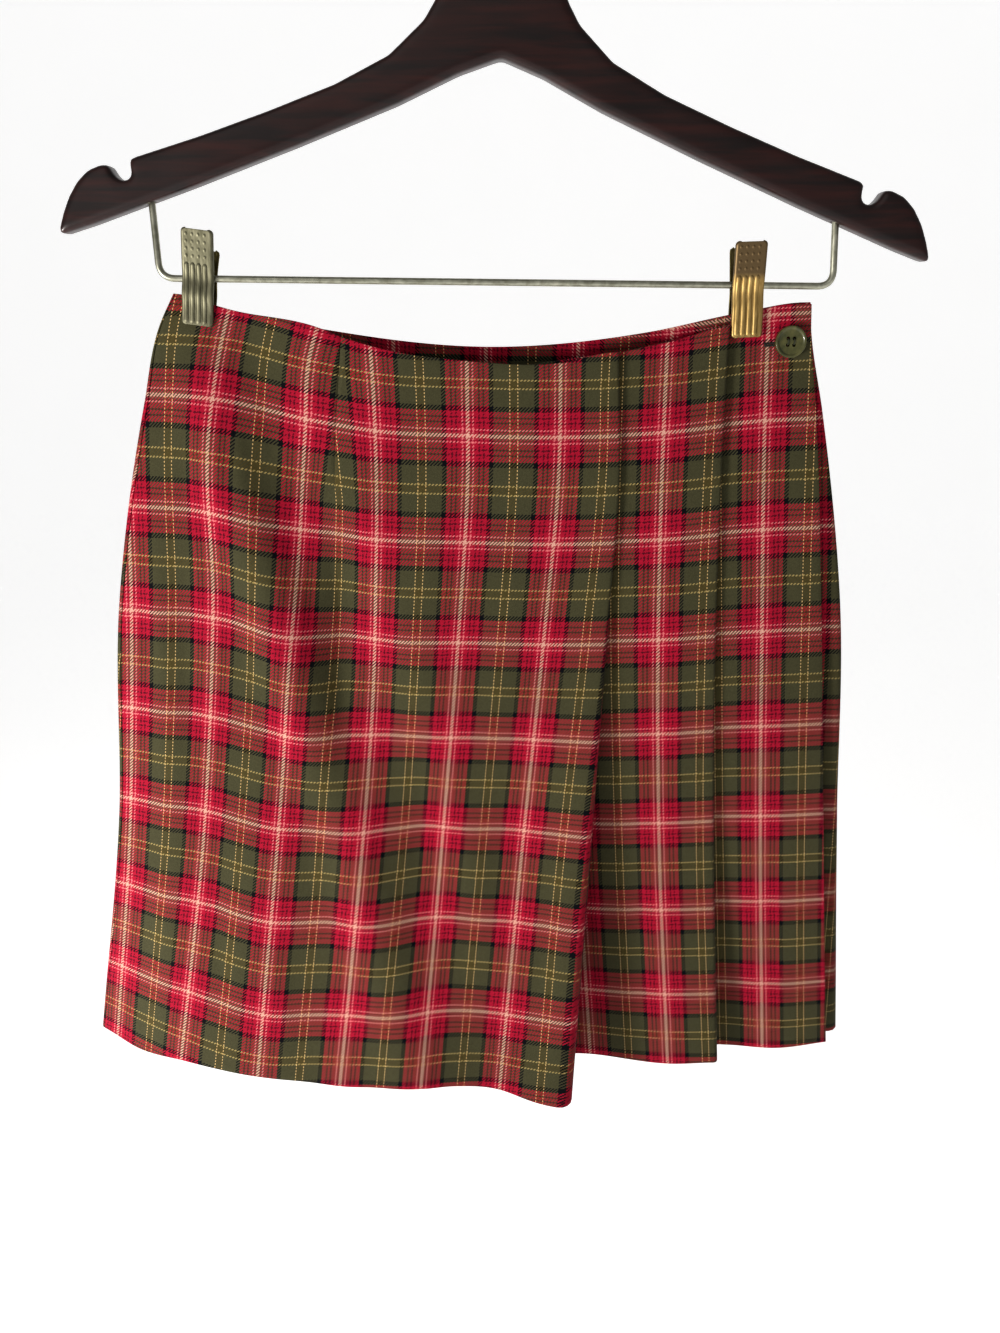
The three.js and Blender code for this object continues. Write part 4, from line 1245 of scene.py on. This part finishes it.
# %% Plates of the clips
PLATE = dict(width=15.2, above=22.8, below=22.4, spread=8, sheet=0.8, corner=1.8)
PAD = dict(width=14, high=8.5, thick=1.3, up=0.6, rib=1.4, ripple=0.12, narrow=0.98)
SPRING = dict(coil=3.1, wire=0.55, long=6.4, turns=6, steps=26, legs=[(3.7, 3), (4.6, 9)])
TURNED_IN = 1.5  # depth of a plate's turned-in sides, and the radius of that bend
TURNED_ROUND = 1.0
PLATE_REST = 0.35  # air between the spring's coil and a plate
PLATE_BENDS = [(1.2, 6), (0, 0), (0.6, -8)]  # beside the coil: how far out from there, and up
JAW_ABOVE = 1.5  # how far the straight jaw reaches above the pad
RIB = dict(count=4, pitch=3.05, half=0.95, high=0.55, start=0.37, end=0.9, shift=-0.7)
DIMPLE = dict(across=4, down=4, pitch=3.05, step=3.4, half=0.8, high=0.4, first=2.4)
FINE_GRID = (110, 61)  # steps down a plate and points across it, with ribs and without
PLAIN_GRID = (40, 9)


def plate_profile(jaw, down, steps):
    """The side view of a plate: rows of (out, up), from the tab's end to the jaw's."""
    rest = SPRING["coil"] + SPRING["wire"] + PLATE_REST
    tab_end = (PLATE["spread"], PLATE["above"] - down)
    bends = [(rest + out, up) for out, up in PLATE_BENDS]
    jaw_top = (jaw, PAD["high"] + JAW_ABOVE - PLATE["below"])
    keys = np.array([tab_end, *bends, jaw_top, (jaw, -PLATE["below"])])
    along = along_path(keys)
    places = np.linspace(0, along[-1], steps + 1)
    return np.stack([smooth(along, keys[:, 0], places), smooth(along, keys[:, 1], places)], axis=1), places


def plate_relief(across, along, length):
    """Height of the ribs and dimples on a front plate."""
    height = np.zeros(np.broadcast(across, along).shape)
    start, end = RIB["start"] * length, length - RIB["end"] - RIB["half"]
    for i in range(RIB["count"]):
        middle = (i - (RIB["count"] - 1) / 2) * RIB["pitch"] + RIB["shift"]
        past = np.maximum(np.maximum(start - along, along - end), 0)
        away = np.hypot(across - middle, past) / RIB["half"]
        height += RIB["high"] * np.sqrt(np.clip(1 - away**2, 0, 1))
    for row in range(DIMPLE["down"]):
        for i in range(DIMPLE["across"]):
            middle = (i - (DIMPLE["across"] - 1) / 2) * DIMPLE["pitch"] + RIB["shift"]
            away = np.hypot(across - middle, along - DIMPLE["first"] - row * DIMPLE["step"])
            height += DIMPLE["high"] * bump(away / DIMPLE["half"])
    return height


def plate_points(jaw, down, ribbed):
    """Rows of points of a plate that faces +Y, about the bar."""
    steps, columns = FINE_GRID if ribbed else PLAIN_GRID
    profile, along = plate_profile(jaw, down, steps)
    half = PLATE["width"] / 2
    corner = PLATE["corner"]
    flat_half = half - TURNED_ROUND
    bend = np.radians(np.linspace(0, 90, 5))
    flat = np.linspace(-flat_half, flat_half, columns)
    side = np.stack([flat_half + TURNED_ROUND * np.sin(bend), TURNED_ROUND * (1 - np.cos(bend))], axis=1)[1:]
    side = np.concatenate([side, [(half, TURNED_IN)]])
    section = np.concatenate([side[::-1] * (-1, 1), np.stack([flat, 0 * flat], axis=1), side])
    tangent = np.gradient(profile, axis=0)
    tangent /= np.linalg.norm(tangent, axis=1, keepdims=True)
    outward = np.stack([-tangent[:, 1], tangent[:, 0]], axis=1)
    across, inset = section[None, :, 0], section[None, :, 1]
    to_end = np.minimum(along, along[-1] - along)[:, None]
    narrow = corner - np.sqrt(np.clip(corner**2 - np.clip(corner - to_end, 0, corner) ** 2, 0, None))
    rise = -inset
    if ribbed:
        rise = rise + plate_relief(across, along[:, None], along[-1]) * (np.abs(across) <= flat_half)
    x = across * (half - narrow) / half
    y = profile[:, :1] + outward[:, :1] * rise
    z = profile[:, 1:] + outward[:, 1:] * rise
    return np.stack([x + 0 * y, y, z], axis=2)


print("grid of a ribbed plate:", *FINE_GRID)

# %% [markdown]
# The pad is a strip of rubber with fine ribs across, and the spring is a coil round the bar
# with a leg behind each plate. The two clips are alike but for their finish, their lean and
# the number of cloth layers between their jaws.

# %% Clips
LAYER = 1.8
CLIPS = {
    "left": dict(x=-152.4, lean=math.radians(7), low=0, layers=2, back_down=9),
    "right": dict(x=125.6, lean=math.radians(-2), low=2.6, layers=3, back_down=2.2),
}
FRONT_FINISH = {"left": (STEEL, "clip_steel"), "right": (BRASS, "clip_brass")}
# The back plates use the lightened metal: painted light against their shade.
BACK_FINISH = (LIGHTENED_BACK_METAL, "clip_steel")
CLIP_EDGE = 0.18  # rounding of the edges of plates and pads
PAD_GRID = (61, 9)  # points down a pad and across it
SPRING_ROUNDNESS = 3


def pad_points(face):
    """Rows of points of a ribbed pad that faces +Y."""
    rows, columns = PAD_GRID
    across = np.linspace(-PAD["width"] / 2, PAD["width"] / 2, columns) * PAD["narrow"]
    up = np.linspace(PAD["high"], 0, rows)
    out = face + PAD["thick"] / 2 + PAD["ripple"] * np.cos(2 * math.pi * up / PAD["rib"])
    low = PAD["up"] - PLATE["below"]
    x, z = np.meshgrid(across, low + up)
    return np.stack([x, np.repeat(out[:, None], len(across), axis=1), z], axis=2)


def bar_height(x):
    """The height of the bar's middle line."""
    return BAR_LEFT[2] + (x - BAR_LEFT[0]) * (BAR_RIGHT[2] - BAR_LEFT[2]) / (BAR_RIGHT[0] - BAR_LEFT[0])


def spring_run():
    """The coil round the bar, with a leg up behind each plate."""
    start, turns = math.pi / 2, SPRING["turns"]
    angle = np.linspace(start, start + 2 * math.pi * (turns + 0.5), SPRING["steps"] * turns)
    x = np.linspace(-SPRING["long"] / 2, SPRING["long"] / 2, len(angle))
    coil = np.stack([x, -SPRING["coil"] * np.sin(angle), SPRING["coil"] * np.cos(angle)], axis=1)
    front_leg = [(x[0], -out, up) for out, up in reversed(SPRING["legs"])]
    back_leg = [(x[-1], out, up) for out, up in SPRING["legs"]]
    return np.concatenate([front_leg, coil, back_leg])


def clip_part(name, points, thickness, clip, way):
    """A plate or a pad that faces one way, in its place on the bar."""
    points = points * (-way, way, 1) - (0, 0, clip["low"])
    place = (clip["x"], 0, bar_height(clip["x"]))
    piece = grid_piece(name, turned(points, clip["lean"], place))
    thicken(piece, thickness, CLIP_EDGE)
    return piece


for side, clip in CLIPS.items():
    face = ((clip["layers"] - 1) * LAYER + CLOTH) / 2 + GAP
    jaw = face + PAD["thick"] + GAP + PLATE["sheet"] / 2
    for facing, way, down in (("front", -1, 0), ("back", 1, clip["back_down"])):
        ribbed = facing == "front"
        plate = clip_part(
            f"{side}_{facing}_plate", plate_points(jaw, down, ribbed), PLATE["sheet"], clip, way
        )
        metal, slot = FRONT_FINISH[side] if ribbed else BACK_FINISH
        finish_piece(plate, metal, slot, f"clip_{side}_{facing}")
        pad = clip_part(f"{side}_{facing}_pad", pad_points(face), PAD["thick"] - GAP, clip, way)
        finish_piece(pad, RUBBER, "rubber", f"clip_{side}_pad_{facing}")
    place = (clip["x"], 0, bar_height(clip["x"]))
    run = turned(spring_run(), clip["lean"], place)
    spring = wire_piece(f"{side}_spring", [run], SPRING["wire"], SPRING_ROUNDNESS)
    finish_piece(spring, WIRE, "wire", f"clip_{side}_spring")
print("clips:", ", ".join(CLIPS))

# %% [markdown]
# The button lies on the cloth, so it leans as the cloth does. Its place and lean are read from
# the button of the construction model: of all directions, its points spread least along the
# one that it faces.

# %% Seat of the button
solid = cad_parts["button"].data
button_points = np.empty(len(solid.vertices) * 3, np.float32)
solid.vertices.foreach_get("co", button_points)
button_points = button_points.reshape(-1, 3)
spread = np.linalg.svd(button_points - button_points.mean(axis=0), full_matrices=False)[2]
facing = spread[2] * (-1 if spread[2][1] > 0 else 1)
heights = button_points @ facing
button_middle = np.mean([button_points.min(axis=0), button_points.max(axis=0)], axis=0)
button_middle += facing * ((heights.max() + heights.min()) / 2 - button_middle @ facing)
SEAT = Matrix.Translation(button_middle) @ Vector(facing).to_track_quat("Z", "Y").to_matrix().to_4x4()
print("middle of the button:", *(round(float(c), 4) for c in button_middle))

# %% [markdown]
# The button is turned from a blank: a disc whose face is set in below a rim, with its edges
# rounded and four holes drilled. Each drill is a cylinder that a Boolean modifier takes away.

# %% Button
BUTTON = dict(radius=7.9, rim=1.1, thick=3.2, dish=0.6, slope=0.5, round=0.45, hole=0.95, pitch=1.6)
DRILL_TIMES = 3  # how many times as long a drill is as the button is thick

bpy.ops.object.select_all(action="DESELECT")
bpy.ops.mesh.primitive_cylinder_add(vertices=64, radius=BUTTON["radius"] * MM, depth=BUTTON["thick"] * MM)
button = bpy.context.object
button.name = "coat_button"
bpy.ops.object.mode_set(mode="EDIT")
bpy.ops.mesh.select_mode(type="FACE")
select_where(button.data, "faces", lambda face: face.normal.z > 0.9)
bpy.ops.mesh.inset(thickness=BUTTON["rim"] * MM)
bpy.ops.mesh.inset(thickness=BUTTON["slope"] * MM, depth=-BUTTON["dish"] * MM)
bpy.ops.mesh.select_all(action="SELECT")
bpy.ops.object.mode_set(mode="OBJECT")
modified(
    button, "BEVEL", width=BUTTON["round"] * MM, segments=4,
    limit_method="ANGLE", angle_limit=math.radians(30),
)
for across in (-1, 1):
    for up in (-1, 1):
        bpy.ops.mesh.primitive_cylinder_add(
            vertices=20, radius=BUTTON["hole"] * MM, depth=DRILL_TIMES * BUTTON["thick"] * MM,
            location=(across * BUTTON["pitch"] * MM, up * BUTTON["pitch"] * MM, 0),
        )
        drill = bpy.context.object
        modified(button, "BOOLEAN", object=drill, operation="DIFFERENCE", solver="EXACT")
        bpy.data.objects.remove(drill)
button.data.transform(SEAT)
finish_piece(button, HORN, "button", "button", angle=math.radians(40))
print("button:", len(button.data.polygons), "faces")

# %% [markdown]
# Thread comes up through one hole and goes down through the next, three strands side by side
# over each pair of holes. A strand is worked out as if the button lay flat, and is then moved
# to the button's seat.

# %% Thread of the button
STRAND = dict(radius=0.15, apart=0.26, proud=0.42, sag=0.2, dip=0.2, shorter=0.15, below=0.8)
STRAND_PLACES = (-0.7, -0.35, 0, 0.35, 0.7)  # its points over the button, as shares of its reach


def strand(x, reach):
    """The points of one strand, up through a hole, over the button and down through the next."""
    face_height = BUTTON["thick"] / 2 - BUTTON["dish"]
    below = -BUTTON["thick"] / 2 - STRAND["below"]
    in_hole = face_height - STRAND["dip"]
    over = [(x, reach * s, face_height + STRAND["proud"] - STRAND["sag"] * s * s) for s in STRAND_PLACES]
    return [(x, -reach, below), (x, -reach, in_hole), *over, (x, reach, in_hole), (x, reach, below)]


strands = []
for across in (-1, 1):
    for aside in (-STRAND["apart"], 0, STRAND["apart"]):
        reach = BUTTON["pitch"] - STRAND["shorter"] * abs(aside)
        points = strand(across * BUTTON["pitch"] + aside, reach)
        strands.append([np.array(SEAT @ Vector(np.array(p) * MM)) / MM for p in points])
thread = wire_piece("button_thread", strands, STRAND["radius"], roundness=3)
finish_piece(thread, OLIVE_THREAD, "button")
print("strands:", len(strands))

# %% [markdown]
# The buttonhole is a slit whose edges are covered by close stitches, with a few long ones
# across its end. Each stitch is a short piece of thread laid on the cloth; its height is found
# by shooting a ray at the cloth.

# %% Buttonhole
BUTTONHOLE = dict(start=137.6, end=152.0, drop=20.6, slope=-0.08, stitch=0.36, inner=0.2, outer=0.95)
BUTTONHOLE_END = dict(count=4, first=0.2, step=0.3, half=0.9)
EDGE_ARCH = (-0.05, 0.16, 0.16, -0.05)  # how proud of the cloth a stitch is, along its length
END_ARCH = (-0.05, 0.18, 0.22, 0.18, -0.05)
STITCH_RADIUS = 0.2
apron_tree = BVHTree.FromObject(front, bpy.context.evaluated_depsgraph_get())


def on_apron(x, drop, proud):
    """A point just in front of the apron."""
    hit = apron_tree.ray_cast(Vector((x * MM, -1, (WAIST_Z - drop) * MM)), Vector((0, 1, 0)))[0]
    return np.array(hit) / MM - (0, proud, 0)


def stitch(x, middle, first, last, arch):
    """A stitch down the cloth, laid in an arch over it. first and last count from the middle."""
    lows = np.linspace(first, last, len(arch))
    return [on_apron(x, middle + low, proud) for low, proud in zip(lows, arch)]


stitches = []
for x in np.arange(BUTTONHOLE["start"], BUTTONHOLE["end"], BUTTONHOLE["stitch"]):
    middle = BUTTONHOLE["drop"] + (x - BUTTONHOLE["start"]) * BUTTONHOLE["slope"]
    for way in (-1, 1):
        stitches.append(stitch(x, middle, way * BUTTONHOLE["inner"], way * BUTTONHOLE["outer"], EDGE_ARCH))
for i in range(BUTTONHOLE_END["count"]):
    x = BUTTONHOLE["start"] - BUTTONHOLE_END["first"] - BUTTONHOLE_END["step"] * i
    half = BUTTONHOLE_END["half"]
    stitches.append(stitch(x, BUTTONHOLE["drop"], -half, half, END_ARCH))
buttonhole = wire_piece("buttonhole_stitches", stitches, STITCH_RADIUS, roundness=1)
finish_piece(buttonhole, THREAD, "tartan")
print("stitches:", len(stitches))
